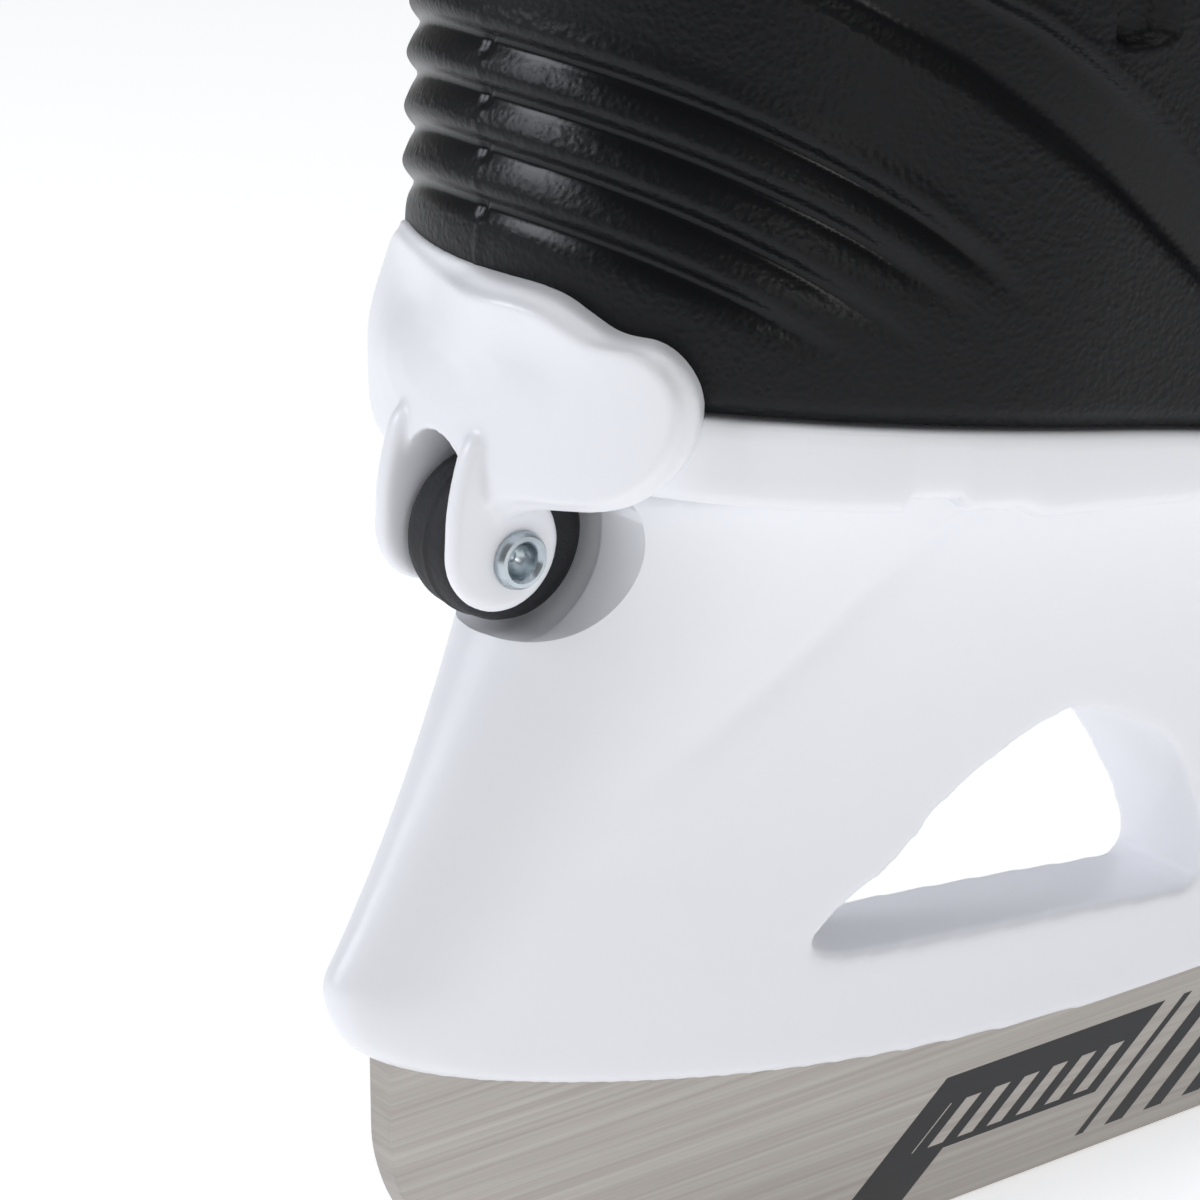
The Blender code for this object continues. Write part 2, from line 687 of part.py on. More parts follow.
def rivet(name, frame, grip, head=0.0048, shank=0.0022, dome=0.0016):
    """Semi-tubular rivet: a domed head outside, a shank through the walls and a rolled inner end."""
    profile = [
        (0.0, dome), (head * 0.6, dome * 0.88), (head, dome * 0.31), (head, 0.0), (shank, 0.0),
        (shank, -grip), (shank + 0.0011, -grip), (shank + 0.0011, -grip - 0.0006), (0.0, -grip - 0.0006),
    ]
    return lathe(name, profile, ZINC, 12, frame)


def normal_frame(point, normal, along):
    return axes(Vector(point) + Vector((HEEL_X, 0.0, 0.0)), along, normal)


def make_pivots(shell, cuff):
    for name, side in (("outer", -1), ("inner", 1)):
        point, normal = on_last(side, *PIVOT)
        normal = np.array([0.0, side, 0.0])
        frame = normal_frame(point, normal, (1.0, 0.0, 0.0))
        for wall, tag in ((shell, "shell"), (cuff, "cuff")):
            cut(wall, rod(f"{tag}_pivot_hole_{name}", 0.0036, 0.010, ZINC, frame, 20, CUTTERS))
        outside = CUFF_STAND_OFF + CUFF_WALL + 0.0007
        seat = normal_frame(point + normal * outside, normal, (1.0, 0.0, 0.0))
        grip = outside + SHELL_WALL + 0.0010
        rivet(f"cuff_pivot_rivet_{name}", seat, grip, head=0.0075, shank=0.0032)


def strip_solid(name, centre, normal, side, low, high, half, look):
    """Rectangular section carried along the centre points."""
    low = np.broadcast_to(low, len(centre))[:, None]
    high = np.broadcast_to(high, len(centre))[:, None]
    half = np.broadcast_to(half, len(centre))[:, None]
    corners = [
        centre + side * half + normal * low,
        centre + side * half + normal * high,
        centre - side * half + normal * high,
        centre - side * half + normal * low,
    ]
    ring = np.stack(corners, 1)
    rows = len(centre)
    faces = [list(q) for q in grid_faces(rows, 4, closed=True)]
    faces += [[3, 2, 1, 0], [(rows - 1) * 4 + i for i in range(4)]]
    return tidy_normals(new_object(name, place(ring), faces, look))


def tidy_normals(obj):
    bm = bmesh.new()
    bm.from_mesh(obj.data)
    bmesh.ops.recalc_face_normals(bm, faces=bm.faces)
    bm.to_mesh(obj.data)
    bm.free()
    return obj


def make_tongue():
    """Padded tongue down the front of the shin and over the instep, inside the throat."""
    v_start = climb_to(np.array([0.5]), lambda p: THROAT_X - 0.003 - p[..., 0])[0]
    rows, cols = 15, 7
    v = np.linspace(v_start, 2.16, rows)
    half = 0.0165 + 0.0015 * smooth((v - 1.0) / 1.0)
    share = np.linspace(-1.0, 1.0, cols)
    s = np.stack([lines_across(row_v, share * row_half) for row_v, row_half in zip(v, half)])
    grid_v = np.repeat(v[:, None], cols, axis=1)
    crown = np.broadcast_to((1.0 - share**2) * 0.0012, s.shape)
    top = off_last(s, grid_v, 0.0020 + crown)
    under = off_last(s, grid_v, np.full(s.shape, -0.0026))
    ring = np.concatenate([top, under[:, ::-1]], axis=1)
    count = ring.shape[1]
    faces = [list(q) for q in grid_faces(rows, count, closed=True)]
    for base in (0, (rows - 1) * count):
        for i in range(cols - 1):
            faces.append([base + i, base + i + 1, base + count - 2 - i, base + count - 1 - i])
    tidy_normals(new_object("tongue", place(ring), faces, FABRIC))


def lines_across(v, reach):
    """The lines s that lie at the given distances to each side of the front centre line at height v."""
    s = np.linspace(0.10, 0.90, 801)
    point = last_point(s, np.full(s.shape, v))
    run = np.concatenate([[0.0], np.cumsum(np.linalg.norm(np.diff(point, axis=0), axis=1))])
    return np.interp(reach, run - run[400], s)


def make_pull_loop():
    """Webbing loop that stands up from the back of the liner."""
    turn = np.linspace(0.0, math.pi, 9)
    reach = 0.0125
    foot = 0.3128
    up = np.concatenate([[0.0], 0.010 + 0.006 * np.sin(turn), [0.0]])
    y = np.concatenate([[-reach], -reach * np.cos(turn), [reach]])
    centre = np.stack([np.full(len(y), 0.0195), y, foot + up], -1)
    along = np.gradient(centre, axis=0)
    along /= np.linalg.norm(along, axis=1, keepdims=True)
    side = np.tile([1.0, 0.0, 0.0], (len(y), 1))
    normal = np.cross(along, side)
    strip_solid("pull_loop", centre, normal, side, -0.0007, 0.0007, 0.0030, FABRIC)


# Ratchet buckles: base, lever, pin, release pawl, pawl pin, ladder strap and two rivets each

def side_line(x_top, z_top, lean):
    """Signed distance from the line through (x_top, z_top) of the side view that leans back by lean."""
    nx, nz = math.cos(lean), -math.sin(lean)
    return lambda p: (p[..., 0] - x_top) * nx + (p[..., 2] - z_top) * nz


def strap_line(line, s_inner, s_outer, v_range, count=61):
    """The plane cut of the last by a side-view line, from the inner side over the front to the outer."""
    s = np.linspace(s_inner, s_outer, count)
    v = np.linspace(*v_range, 801)
    value = line(last_point(s[:, None], v[None, :]))
    sign = np.signbit(value)
    change = sign[:, 1:] != sign[:, :-1]
    i = np.argmax(change, axis=1)
    rows = np.arange(count)
    a, b = value[rows, i], value[rows, i + 1]
    return s, v[i] + (v[i + 1] - v[i]) * a / (a - b)


def buckle(name, line, s_inner, s_outer, v_range, surface, hosts):
    """One ratchet buckle. surface is the height of its host's outer wall above the last."""
    s, v = strap_line(line, s_inner, s_outer, v_range)
    point = last_point(s, v)
    normal = last_normal(s, v)
    run = np.concatenate([[0.0], np.cumsum(np.linalg.norm(np.diff(point, axis=0), axis=1))])
    rows = np.linspace(0.0, run[-1], 19)
    centre = np.stack([np.interp(rows, run, point[:, k]) for k in range(3)], -1)
    normal = np.stack([np.interp(rows, run, normal[:, k]) for k in range(3)], -1)
    share = rows / rows[-1]
    over = OVER_TONGUE - surface
    lift = surface + 0.0007 + np.clip(over, 0.0, None) * smooth(share / 0.25)
    lift = lift + (surface + 0.0044 - lift) * smooth((share - 0.60) / 0.16)
    along = np.gradient(centre, axis=0)
    along /= np.linalg.norm(along, axis=1, keepdims=True)
    normal -= along * np.sum(normal * along, axis=1, keepdims=True)
    normal /= np.linalg.norm(normal, axis=1, keepdims=True)
    centre = centre + normal * lift[:, None]
    # The last stretch runs straight through the base, along its tangent.
    seat = rows[-1] - BUCKLE_LENGTH / 2
    k = int(np.argmin(np.abs(rows - seat)))
    foot, n, t = centre[k], normal[k], along[k]
    ahead = 0.026
    back = 0.0175
    keep = rows < rows[k] - back - 0.004
    steps = np.array([-back, 0.0, ahead * 0.5, ahead, ahead + 0.006])
    straight = foot + steps[:, None] * t
    centre = np.concatenate([centre[keep], straight])
    normal = np.concatenate([normal[keep], np.tile(n, (len(steps), 1))])
    along = np.gradient(centre, axis=0)
    along /= np.linalg.norm(along, axis=1, keepdims=True)
    normal -= along * np.sum(normal * along, axis=1, keepdims=True)
    normal /= np.linalg.norm(normal, axis=1, keepdims=True)
    side = np.cross(normal, along)
    strap = strip_solid(f"{name}_strap", centre, normal, side, 0.0, STRAP_THICK, STRAP_WIDTH / 2, GREY)
    # Local frame of the base: X towards the front of the boot, Z out of the wall, origin on the strap.
    base = axes(Vector(foot) + Vector((HEEL_X, 0.0, 0.0)), -Vector(t), n)
    make_buckle_metal(name, base, hosts, surface)
    # The strap's own rivet, near its inner end.
    start = 1
    seat = normal_frame(centre[start] + normal[start] * (STRAP_THICK + GAP), normal[start], along[start])
    grip = STRAP_THICK + GAP + (lift[start] - surface) + host_depth(surface) + 0.0009
    hole = normal_frame(centre[start], normal[start], along[start])
    for host in [strap, *hosts]:
        cut(host, rod(f"{name}_{host.name}_hole", 0.0025, 0.012, GREY, hole, 14, CUTTERS))
    rivet(f"{name}_strap_rivet", seat, grip)


def host_depth(surface):
    return CUFF_WALL if surface > 0.001 else SHELL_WALL


def make_buckle_metal(name, base, hosts, surface):
    """Base plate with two cheeks, the lever and pawl between them, their pins, and the base's rivet."""
    plate_low, plate_high = -0.0030, -0.0014
    inner, outer = 0.0130, 0.0146
    bm = bmesh.new()
    add_box(bm, (-0.0230, -outer, plate_low), (0.0150, outer, plate_high))
    body = from_bmesh(f"{name}_base", bm, ZINC)
    body.matrix_world = base
    cheek = [
        (-0.0150, plate_low), (0.0150, plate_low), (0.0150, 0.0050), (0.0125, 0.0100),
        (0.0060, 0.0100), (-0.0040, 0.0085), (-0.0120, 0.0030),
    ]
    for tag, sign in (("a", -1), ("b", 1)):
        upright = base @ Matrix.Translation((0.0, sign * (inner + outer) / 2, 0.0)) @ Matrix.Rotation(math.pi / 2, 4, "X")
        wing = extrude_outline(f"{name}_cheek_{tag}", cheek, (outer - inner) / 2, ZINC, upright, CUTTERS)
        cut(body, wing, "UNION")
    pins = {"lever": (0.0090, 0.0062, 0.0013), "pawl": (-0.0040, 0.0048, 0.0010)}
    for tag, (x, z, radius) in pins.items():
        frame = base @ Matrix.Translation((x, 0.0, z)) @ Matrix.Rotation(math.pi / 2, 4, "X")
        cut(body, rod(f"{name}_{tag}_pin_hole", radius + GAP, 0.020, ZINC, frame, 12, CUTTERS))
        rod(f"{name}_{tag}_pin", radius, outer + 0.0006, ZINC, frame, 12)
    seat = base @ Matrix.Translation((0.0, 0.0, plate_high + 0.0002))
    cut(body, rod(f"{name}_base_hole", 0.0025, 0.006, ZINC, seat, 14, CUTTERS))
    for host in hosts:
        cut(host, rod(f"{name}_{host.name}_base_hole", 0.0025, 0.012, ZINC, seat, 14, CUTTERS))
    grip = plate_high - plate_low + BASE_LIFT + host_depth(surface) + 0.0011
    rivet(f"{name}_base_rivet", seat, grip, head=0.0042, dome=0.0006)
    make_lever(name, base, pins["lever"])
    make_pawl(name, base, pins["pawl"])


def add_box(bm, low, high):
    size = [b - a for a, b in zip(low, high)]
    centre = [(a + b) / 2 for a, b in zip(low, high)]
    matrix = Matrix.Translation(centre) @ Matrix.Diagonal((*size, 1.0))
    bmesh.ops.create_cube(bm, size=1.0, matrix=matrix)


def profile_bar(name, outline, half, look, frame, bore, bore_at):
    """Outline of the side view of a buckle piece, as wide as the gap between the cheeks, with its bore."""
    obj = extrude_outline(name, outline, half, look, frame)
    centre = frame @ Matrix.Translation((bore_at[0], bore_at[1], 0.0))
    cut(obj, rod(f"{name}_bore", bore, half + 0.01, look, centre, 12, CUTTERS))
    return obj


def hub(centre, radius, start, end, steps=6):
    turn = np.radians(np.linspace(start, end, steps))
    return [(centre[0] + radius * math.cos(t), centre[1] + radius * math.sin(t)) for t in turn]


def upright_at(base, pin):
    """Frame on a pin: X along the base, Y out of the wall, Z along the pin."""
    return base @ Matrix.Translation((pin[0], 0.0, pin[1])) @ Matrix.Rotation(math.pi / 2, 4, "X")


def make_lever(name, base, pin):
    """Ratchet lever: a hub on the pin and a handle that lies back over the base."""
    outline = hub((0.0, 0.0), 0.0031, -160.0, 70.0)
    outline += [(-0.0035, 0.0060), (-0.0200, 0.0078), (-0.0340, 0.0066), (-0.0420, 0.0040)]
    outline += [(-0.0415, 0.0020), (-0.0335, 0.0046), (-0.0200, 0.0058), (-0.0070, 0.0044)]
    profile_bar(f"{name}_lever", outline, 0.0124, ZINC, upright_at(base, pin), pin[2] + GAP, (0.0, 0.0))


def make_pawl(name, base, pin):
    """Release pawl: holds the strap's teeth until its tab is lifted."""
    outline = hub((0.0, 0.0), 0.0020, -100.0, 100.0)
    outline += [(-0.0070, 0.0024), (-0.0175, 0.0022), (-0.0175, 0.0010), (-0.0080, 0.0002), (-0.0070, -0.0022)]
    profile_bar(f"{name}_pawl", outline, 0.0115, ZINC, upright_at(base, pin), pin[2] + GAP, (0.0, 0.0))


# Heel clip with its ears, the roller and its rivet

HEEL_CLIP_TOP = [(0.0, 0.1004), (0.0090, 0.1003), (0.0145, 0.0984), (0.0185, 0.0973), (0.0222, 0.0961), (0.0240, 0.0935)]
HEEL_CLIP_LOW = [(0.0, 0.0858), (0.0100, 0.0828), (0.0150, 0.0827), (0.0195, 0.0842), (0.0228, 0.0872), (0.0240, 0.0905)]
CLIP_END = (0.0243, 0.0920)


def heel_point(arc, z, out):
    """Point outside the heel at distance arc round it from the middle."""
    turn = np.linspace(-1.3, 1.3, 801)
    x = HEEL_ROUND - (HEEL_ROUND + out) * np.cos(turn)
    y = (HEEL_HALF_WIDTH + out) * np.sin(turn)
    run = np.concatenate([[0.0], np.cumsum(np.hypot(np.diff(x), np.diff(y)))])
    run -= run[400]
    return np.stack([np.interp(arc, run, x), np.interp(arc, run, y), z], -1)


def make_heel_clip():
    cols, rows = 25, 5
    share = np.sin(np.linspace(-math.pi / 2, math.pi / 2, cols))
    arc = share * CLIP_END[0] * 0.998
    top = np.array(HEEL_CLIP_TOP + [CLIP_END])
    low = np.array(HEEL_CLIP_LOW + [CLIP_END])
    z1 = np.interp(np.abs(arc), top[:, 0], top[:, 1])
    z0 = np.interp(np.abs(arc), low[:, 0], low[:, 1]) - 0.0001
    z = z0 + np.linspace(0.0, 1.0, rows)[:, None] * (z1 - z0)
    points = heel_point(np.broadcast_to(-arc, z.shape), z, 0.0034)
    clip = new_object("heel_clip", place(points), grid_faces(rows, cols), WHITE)
    solidify(clip, 0.0030)
    x0, z0 = EAR_CENTRE
    ear = hub(EAR_CENTRE, EAR_RADIUS, 58.0, -180.0, 17)
    ear += [(x0 - 0.0043, z0 + 0.0050), (-0.0031, 0.0885), (-0.0008, 0.0885), (-0.0008, z0 + 0.0046)]
    for name, side in (("outer", -1), ("inner", 1)):
        frame = across_plane() @ Matrix.Translation((0.0, 0.0, -side * (EAR_IN + EAR_OUT) / 2))
        cut(clip, extrude_outline(f"ear_{name}", ear[::-1], (EAR_OUT - EAR_IN) / 2, WHITE, frame, CUTTERS), "UNION")
    cut(clip, rod("clip_rivet_hole", 0.0018, 0.012, WHITE, across(0.0, RIVET_Z), 16, CUTTERS))


def make_roller():
    w, r = ROLLER_HALF_WIDTH, ROLLER_RADIUS
    profile = [
        (0.0036, w), (r - 0.0012, w), (r - 0.0003, w - 0.0005), (r, w - 0.0013), (r, -w + 0.0013),
        (r - 0.0003, -w + 0.0005), (r - 0.0012, -w), (0.0036, -w), (0.0036, w),
    ]
    lathe("heel_roller", profile, RUBBER, 28, across(*ROLLER_CENTRE))


def make_roller_rivet():
    """Tubular rivet: rolled flanges outside the ears and an open bore."""
    out = EAR_OUT + GAP
    profile = [
        (0.0010, out + 0.0005), (0.0017, out + 0.0008), (0.0024, out + 0.0005), (0.0025, out),
        (0.0015, out), (0.0015, -out), (0.0025, -out), (0.0024, -out - 0.0005),
        (0.0017, -out - 0.0008), (0.0010, -out - 0.0005), (0.0010, out + 0.0005),
    ]
    lathe("roller_rivet", profile, ZINC, 20, across(0.0, RIVET_Z))


make_blade()
make_holder()
make_sole_plate()
shell_object = make_lower_shell()
cuff_object = make_cuff()
make_pivots(shell_object, cuff_object)
make_liner()
make_insole()
make_tongue()
make_pull_loop()
make_bolts()
make_heel_clip()
make_roller()
make_roller_rivet()
CUFF_SURFACE = CUFF_STAND_OFF + CUFF_WALL
buckle("cuff_buckle", side_line(0.120, 0.243, 1.50), 0.80, 0.14, (1.1, 1.95), CUFF_SURFACE, [cuff_object])
buckle("instep_buckle", side_line(0.139, 0.152, 0.55), 0.775, 0.20, (0.2, 1.15), 0.0, [shell_object])
buckle("toe_buckle", side_line(0.186, 0.130, 0.10), 0.69, 0.30, (0.1, 0.95), 0.0, [shell_object])
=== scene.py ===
"""Looks of a hard-shell ice skate, right foot, in the order in which it is put together.

Metres, +Z up, +X towards the toe, -Y the outer side of the foot, Z = 0 on the running edge. Sizes that
start at the back of the heel are heel distances: the skate's own X is HEEL_X more than that.
"""

import math

import bmesh
import bpy
import numpy as np
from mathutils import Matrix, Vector


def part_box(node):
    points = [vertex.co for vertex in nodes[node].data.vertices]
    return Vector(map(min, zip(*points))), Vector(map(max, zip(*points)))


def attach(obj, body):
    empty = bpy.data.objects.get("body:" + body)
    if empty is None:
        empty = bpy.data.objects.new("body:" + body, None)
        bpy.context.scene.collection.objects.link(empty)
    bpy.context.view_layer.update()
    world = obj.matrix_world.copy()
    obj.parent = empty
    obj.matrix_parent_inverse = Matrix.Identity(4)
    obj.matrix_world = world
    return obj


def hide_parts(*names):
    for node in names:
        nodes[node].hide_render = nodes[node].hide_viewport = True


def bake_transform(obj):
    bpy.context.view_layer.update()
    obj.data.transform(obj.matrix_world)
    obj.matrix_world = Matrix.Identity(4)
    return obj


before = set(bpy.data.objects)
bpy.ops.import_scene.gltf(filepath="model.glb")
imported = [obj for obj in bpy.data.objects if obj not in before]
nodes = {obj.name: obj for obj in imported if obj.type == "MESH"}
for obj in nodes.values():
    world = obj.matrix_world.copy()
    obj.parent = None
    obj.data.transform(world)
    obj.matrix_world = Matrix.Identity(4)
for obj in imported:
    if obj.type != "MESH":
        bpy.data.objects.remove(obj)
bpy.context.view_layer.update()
HEEL_X = -0.138


# ---- Runner -------------------------------------------------------------------------------------
# A 3 mm blade of stainless steel, laser cut, heat treated and ground. Its tang stands in a slot of
# the holder. The flanks are brushed along their length and carry a printed black decal.

BLADE_THICK = 0.0030
BLADE_TAIL, BLADE_NOSE = -0.0104, 0.2760
RAIL_Z, RAIL_RISE, TANG_DEPTH = 0.017, 0.017, 0.008
WELD = 0.000002


def linear(code):
    """Linear RGBA of an sRGB hex colour: each channel divided by 12.92 near black, else a 2.4 power."""
    s = np.array([int(code[i:i + 2], 16) for i in (1, 3, 5)]) / 255.0
    rgb = np.where(s <= 0.04045, s / 12.92, ((s + 0.055) / 1.055) ** 2.4)
    return (*rgb.tolist(), 1.0)


def smooth(t):
    """Cubic step 3t^2 - 2t^3, held at 0 below 0 and at 1 above 1."""
    t = np.clip(t, 0.0, 1.0)
    return t * t * (3.0 - 2.0 * t)


def add(tree, kind, inputs=None, **settings):
    """Adds a shader node: settings are its properties, inputs are values, or sockets or nodes to link."""
    made = tree.nodes.new("ShaderNode" + kind)
    for key, value in settings.items():
        setattr(made, key, value)
    for socket, value in (inputs or {}).items():
        if isinstance(value, bpy.types.Node):
            value = value.outputs[0]
        if isinstance(value, bpy.types.NodeSocket):
            tree.links.new(value, made.inputs[socket])
        else:
            made.inputs[socket].default_value = value
    return made


def finish(name, colour, rough, metal=0.0, **sockets):
    """New material and its tree and shader, with the shader's plain values set on its own sockets."""
    made = bpy.data.materials.new(name)
    made.use_nodes = True
    tree = made.node_tree
    shader = tree.nodes["Principled BSDF"]
    shader.inputs["Base Color"].default_value = linear(colour)
    shader.inputs["Roughness"].default_value = rough
    shader.inputs["Metallic"].default_value = metal
    for socket, value in sockets.items():
        shader.inputs[socket.replace("_", " ")].default_value = value
    return made, tree, shader


def wire(shader, **sources):
    """Links each node's first output to the shader's socket of that name."""
    for socket, node in sources.items():
        shader.id_data.links.new(node.outputs[0], shader.inputs[socket.replace("_", " ")])


def shade(mesh, sharp):
    """Smooth shading, apart from the edges that turn by more than sharp degrees."""
    mesh.shade_smooth()
    mesh.set_sharp_from_angle(angle=math.radians(sharp))


def surface(name, points, wrap=False, sharp=40.0, polish=None):
    """Mesh of a grid of points, its columns joined round when wrap is set, and its poles merged.

    polish, from 0 to 1 at each point, becomes a point attribute that the material reads."""
    rows, cols = points.shape[:2]
    last = cols if wrap else cols - 1
    r, c = np.meshgrid(np.arange(rows - 1), np.arange(last), indexing="ij")
    n = (c + 1) % cols
    quads = np.stack([r * cols + c, r * cols + n, (r + 1) * cols + n, (r + 1) * cols + c], -1)
    mesh = bpy.data.meshes.new(name)
    mesh.vertices.add(rows * cols)
    mesh.vertices.foreach_set("co", np.ascontiguousarray(points, np.float32).reshape(-1))
    mesh.loops.add(quads.size)
    mesh.loops.foreach_set("vertex_index", quads.reshape(-1).astype(np.int32))
    mesh.polygons.add(quads.size // 4)
    mesh.polygons.foreach_set("loop_start", np.arange(0, quads.size, 4, dtype=np.int32))
    mesh.update(calc_edges=True)
    if polish is not None:
        shine = mesh.attributes.new("polish", "FLOAT", "POINT")
        shine.data.foreach_set("value", polish.astype(np.float32).reshape(-1))
    closed = bmesh.new()
    closed.from_mesh(mesh)
    bmesh.ops.remove_doubles(closed, verts=closed.verts, dist=WELD)
    bmesh.ops.recalc_face_normals(closed, faces=closed.faces)
    closed.to_mesh(mesh)
    closed.free()
    shade(mesh, sharp)
    made = bpy.data.objects.new(name, mesh)
    bpy.context.scene.collection.objects.link(made)
    return made


def capped(rings):
    """Rings of a tube with the middle point of the first and the last added, which closes its ends."""
    first = np.broadcast_to(rings[:1].mean(1, keepdims=True), rings[:1].shape)
    last = np.broadcast_to(rings[-1:].mean(1, keepdims=True), rings[-1:].shape)
    return np.concatenate([first, rings, last])


def settle(made, material, body, slot, *replaced):
    """Gives a piece its material and its body, and hides the CAD nodes that it stands for. slot is not used.
    """
    made.data.materials.clear()
    made.data.materials.append(material)
    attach(made, body)
    if replaced:
        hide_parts(*replaced)
    return made


def rail_z(x):
    """Lower edge of the holder: level in the middle, and turned up at both ends by a 2.2 power."""
    back = np.clip((0.082 - x) / 0.095, 0.0, None) ** 2.2
    fore = np.clip((x - 0.186) / 0.095, 0.0, None) ** 2.2
    return RAIL_Z + RAIL_RISE * (back + fore)


def blade_bottom(x):
    """Quarter ellipses at the tail and the nose, joined by the straight running edge."""
    back = np.clip((0.0356 - x) / 0.0460, 0.0, 1.0)
    fore = np.clip((x - 0.2160) / 0.0600, 0.0, 1.0)
    return 0.0260 * (1.0 - np.sqrt(1.0 - back**2)) + 0.0270 * (1.0 - np.sqrt(1.0 - fore**2))


def blade_rings():
    """Upright sections along the blade: running edge, its broken corner, flank and tang, on both sides."""
    turn = np.linspace(0.0, math.pi, 240)
    x = BLADE_TAIL + (BLADE_NOSE - BLADE_TAIL) * (1.0 - np.cos(turn)) / 2.0
    low, high = blade_bottom(x), rail_z(x) + TANG_DEPTH
    rise = np.array([0.0, 0.0, 0.02, 0.3, 0.65, 0.99, 1.0])
    half = np.array([0.62, 0.84, 1.0, 1.0, 1.0, 1.0, 0.9]) * BLADE_THICK / 2
    share = np.concatenate([rise, rise[::-1]])
    y = np.concatenate([-half, half[::-1]])
    z = low[:, None] + share * (high - low)[:, None]
    x = np.broadcast_to(x[:, None], z.shape)
    return np.stack([x + HEEL_X, np.broadcast_to(y, z.shape), z], -1)


def steel_material():
    """Brushed stainless steel: warm grey, with fine streaks along the blade that lean a little."""
    made, tree, shader = finish("stainless_steel_brushed", "#B4ADA6", 0.34, 1.0, Anisotropic=0.35)
    place = add(tree, "TexCoord").outputs["Object"]
    lean = add(tree, "Mapping", {"Vector": place, "Rotation": (0.0, math.radians(3.0), 0.0),
                                 "Scale": (14.0, 60.0, 1500.0)})
    streak = add(tree, "TexNoise", {"Vector": lean, "Scale": 1.0, "Detail": 4.0, "Roughness": 0.6})
    broad = add(tree, "TexNoise", {"Vector": place, "Scale": 22.0, "Detail": 2.0})
    tint = add(tree, "MixRGB", {0: streak, 1: linear("#87817B"), 2: linear("#C3BEB8")})
    rough = add(tree, "MapRange", {"Value": streak, "To Min": 0.26, "To Max": 0.46})
    patch = add(tree, "MapRange", {"Value": broad, "To Min": -0.04, "To Max": 0.06})
    total = add(tree, "Math", {0: rough, 1: patch}, operation="ADD")
    bump = add(tree, "Bump", {"Height": streak, "Strength": 0.18, "Distance": 0.00004})
    ink = decal(tree, place)
    colour = add(tree, "MixRGB", {0: ink, 1: tint, 2: linear("#17171A")})
    bare = add(tree, "Math", {0: 1.0, 1: ink}, operation="SUBTRACT")
    wire(shader, Base_Color=colour, Metallic=bare, Roughness=total, Normal=bump)
    return made


def decal(tree, place):
    """Pad printed black: a slanted block on a foot, with bare bars in it, and slanted stripes ahead."""
    part = add(tree, "SeparateXYZ", {"Vector": place})
    height = part.outputs["Z"]
    slide = add(tree, "Math", {0: height, 1: -1.25, 2: part}, operation="MULTIPLY_ADD")
    pace = add(tree, "Math", {0: slide, 1: 0.0052, 2: 0.0}, operation="WRAP")
    beat = add(tree, "Math", {0: slide, 1: 0.0037, 2: 0.0}, operation="WRAP")
    top, tail = 0.0132, HEEL_X + 0.0358
    block = printed(tree, (slide, tail, HEEL_X + 0.0640), (height, 0.0060, top))
    foot = printed(tree, (slide, tail, HEEL_X + 0.0445), (height, -0.0100, 0.0061))
    bars = printed(tree, (beat, -0.0001, 0.0019), (slide, tail + 0.0040, tail + 0.0267),
                   (height, 0.0066, 0.0104))
    stripe = printed(tree, (pace, -0.0001, 0.0024), (slide, tail + 0.0307, tail + 0.0922),
                     (height, 0.0020, top))
    gaps = add(tree, "Math", {0: 1.0, 1: bars}, operation="SUBTRACT")
    cut = add(tree, "Math", {0: block, 1: gaps}, operation="MULTIPLY")
    joined = add(tree, "Math", {0: cut, 1: foot}, operation="MAXIMUM")
    return add(tree, "Math", {0: joined, 1: stripe}, operation="MAXIMUM")


def printed(tree, *spans):
    """1 where every value lies in its span from low to high, else 0: the product of the comparisons."""
    ink = 1.0
    for value, low, high in spans:
        half = (high - low) / 2.0
        here = add(tree, "Math", {0: value, 1: low + half, 2: half}, operation="COMPARE")
        ink = add(tree, "Math", {0: ink, 1: here}, operation="MULTIPLY")
    return ink


blade = surface("runner", capped(blade_rings()), wrap=True, sharp=30.0)
settle(blade, steel_material(), "skate", "steel", "blade")


# ---- Blade holder -------------------------------------------------------------------------------
# The tower that carries the blade, injection moulded in white nylon with a satin polish. It has a
# pocket for the heel roller, windows between its struts, and edges rounded by the mould.

POCKET_X, POCKET_Z, POCKET_RADIUS = 0.0019, 0.0773, 0.0081
RECESS_X, RECESS_Z, RECESS_RADIUS = 0.0008, 0.0776, 0.0084
SEAM_HEEL_Z, PITCH_DROP, PITCH_LENGTH = 0.0917, 0.023, 0.150


def seam_z(x):
    """Underside of the shell: a heel seat, a cubic slope and a level forefoot that rises at the toe."""
    return SEAM_HEEL_Z - PITCH_DROP * smooth(x / PITCH_LENGTH) + 0.003 * smooth((x - 0.230) / 0.070)


def plate_z(x):
    """Underside of the sole plate, which is 8.2 mm thick at the heel and 5.8 mm from there on."""
    return seam_z(x) - 0.0082 + 0.0024 * smooth((x - 0.010) / 0.050)


def holder_back(v):
    """Rear edge by share of height: a quarter round tail, then a straight lean towards the heel."""
    tail = 1.0 - np.sqrt(1.0 - np.clip((0.13 - v) / 0.13, 0.0, 1.0) ** 2)
    return -0.0157 + 0.021 * np.clip((v - 0.13) / 0.87, 0.0, None) ** 0.95 + 0.0045 * tail


def holder_front(v):
    """Front edge by share of height: a quarter round nose, then a lean back under the toe."""
    nose = 1.0 - np.sqrt(1.0 - np.clip((0.16 - v) / 0.16, 0.0, 1.0) ** 2)
    return 0.2830 - 0.0060 * nose - 0.022 * np.clip((v - 0.16) / 0.84, 0.0, None) ** 1.1


def between(a, b, c, d, f):
    """Catmull-Rom cubic at share f of the way from b to c, with half of the chords a-c and b-d as slopes."""
    return 0.5 * (2 * b + (c - a) * f + (2 * a - 5 * b + 4 * c - d) * f**2 + (3 * b - a - 3 * c + d) * f**3)


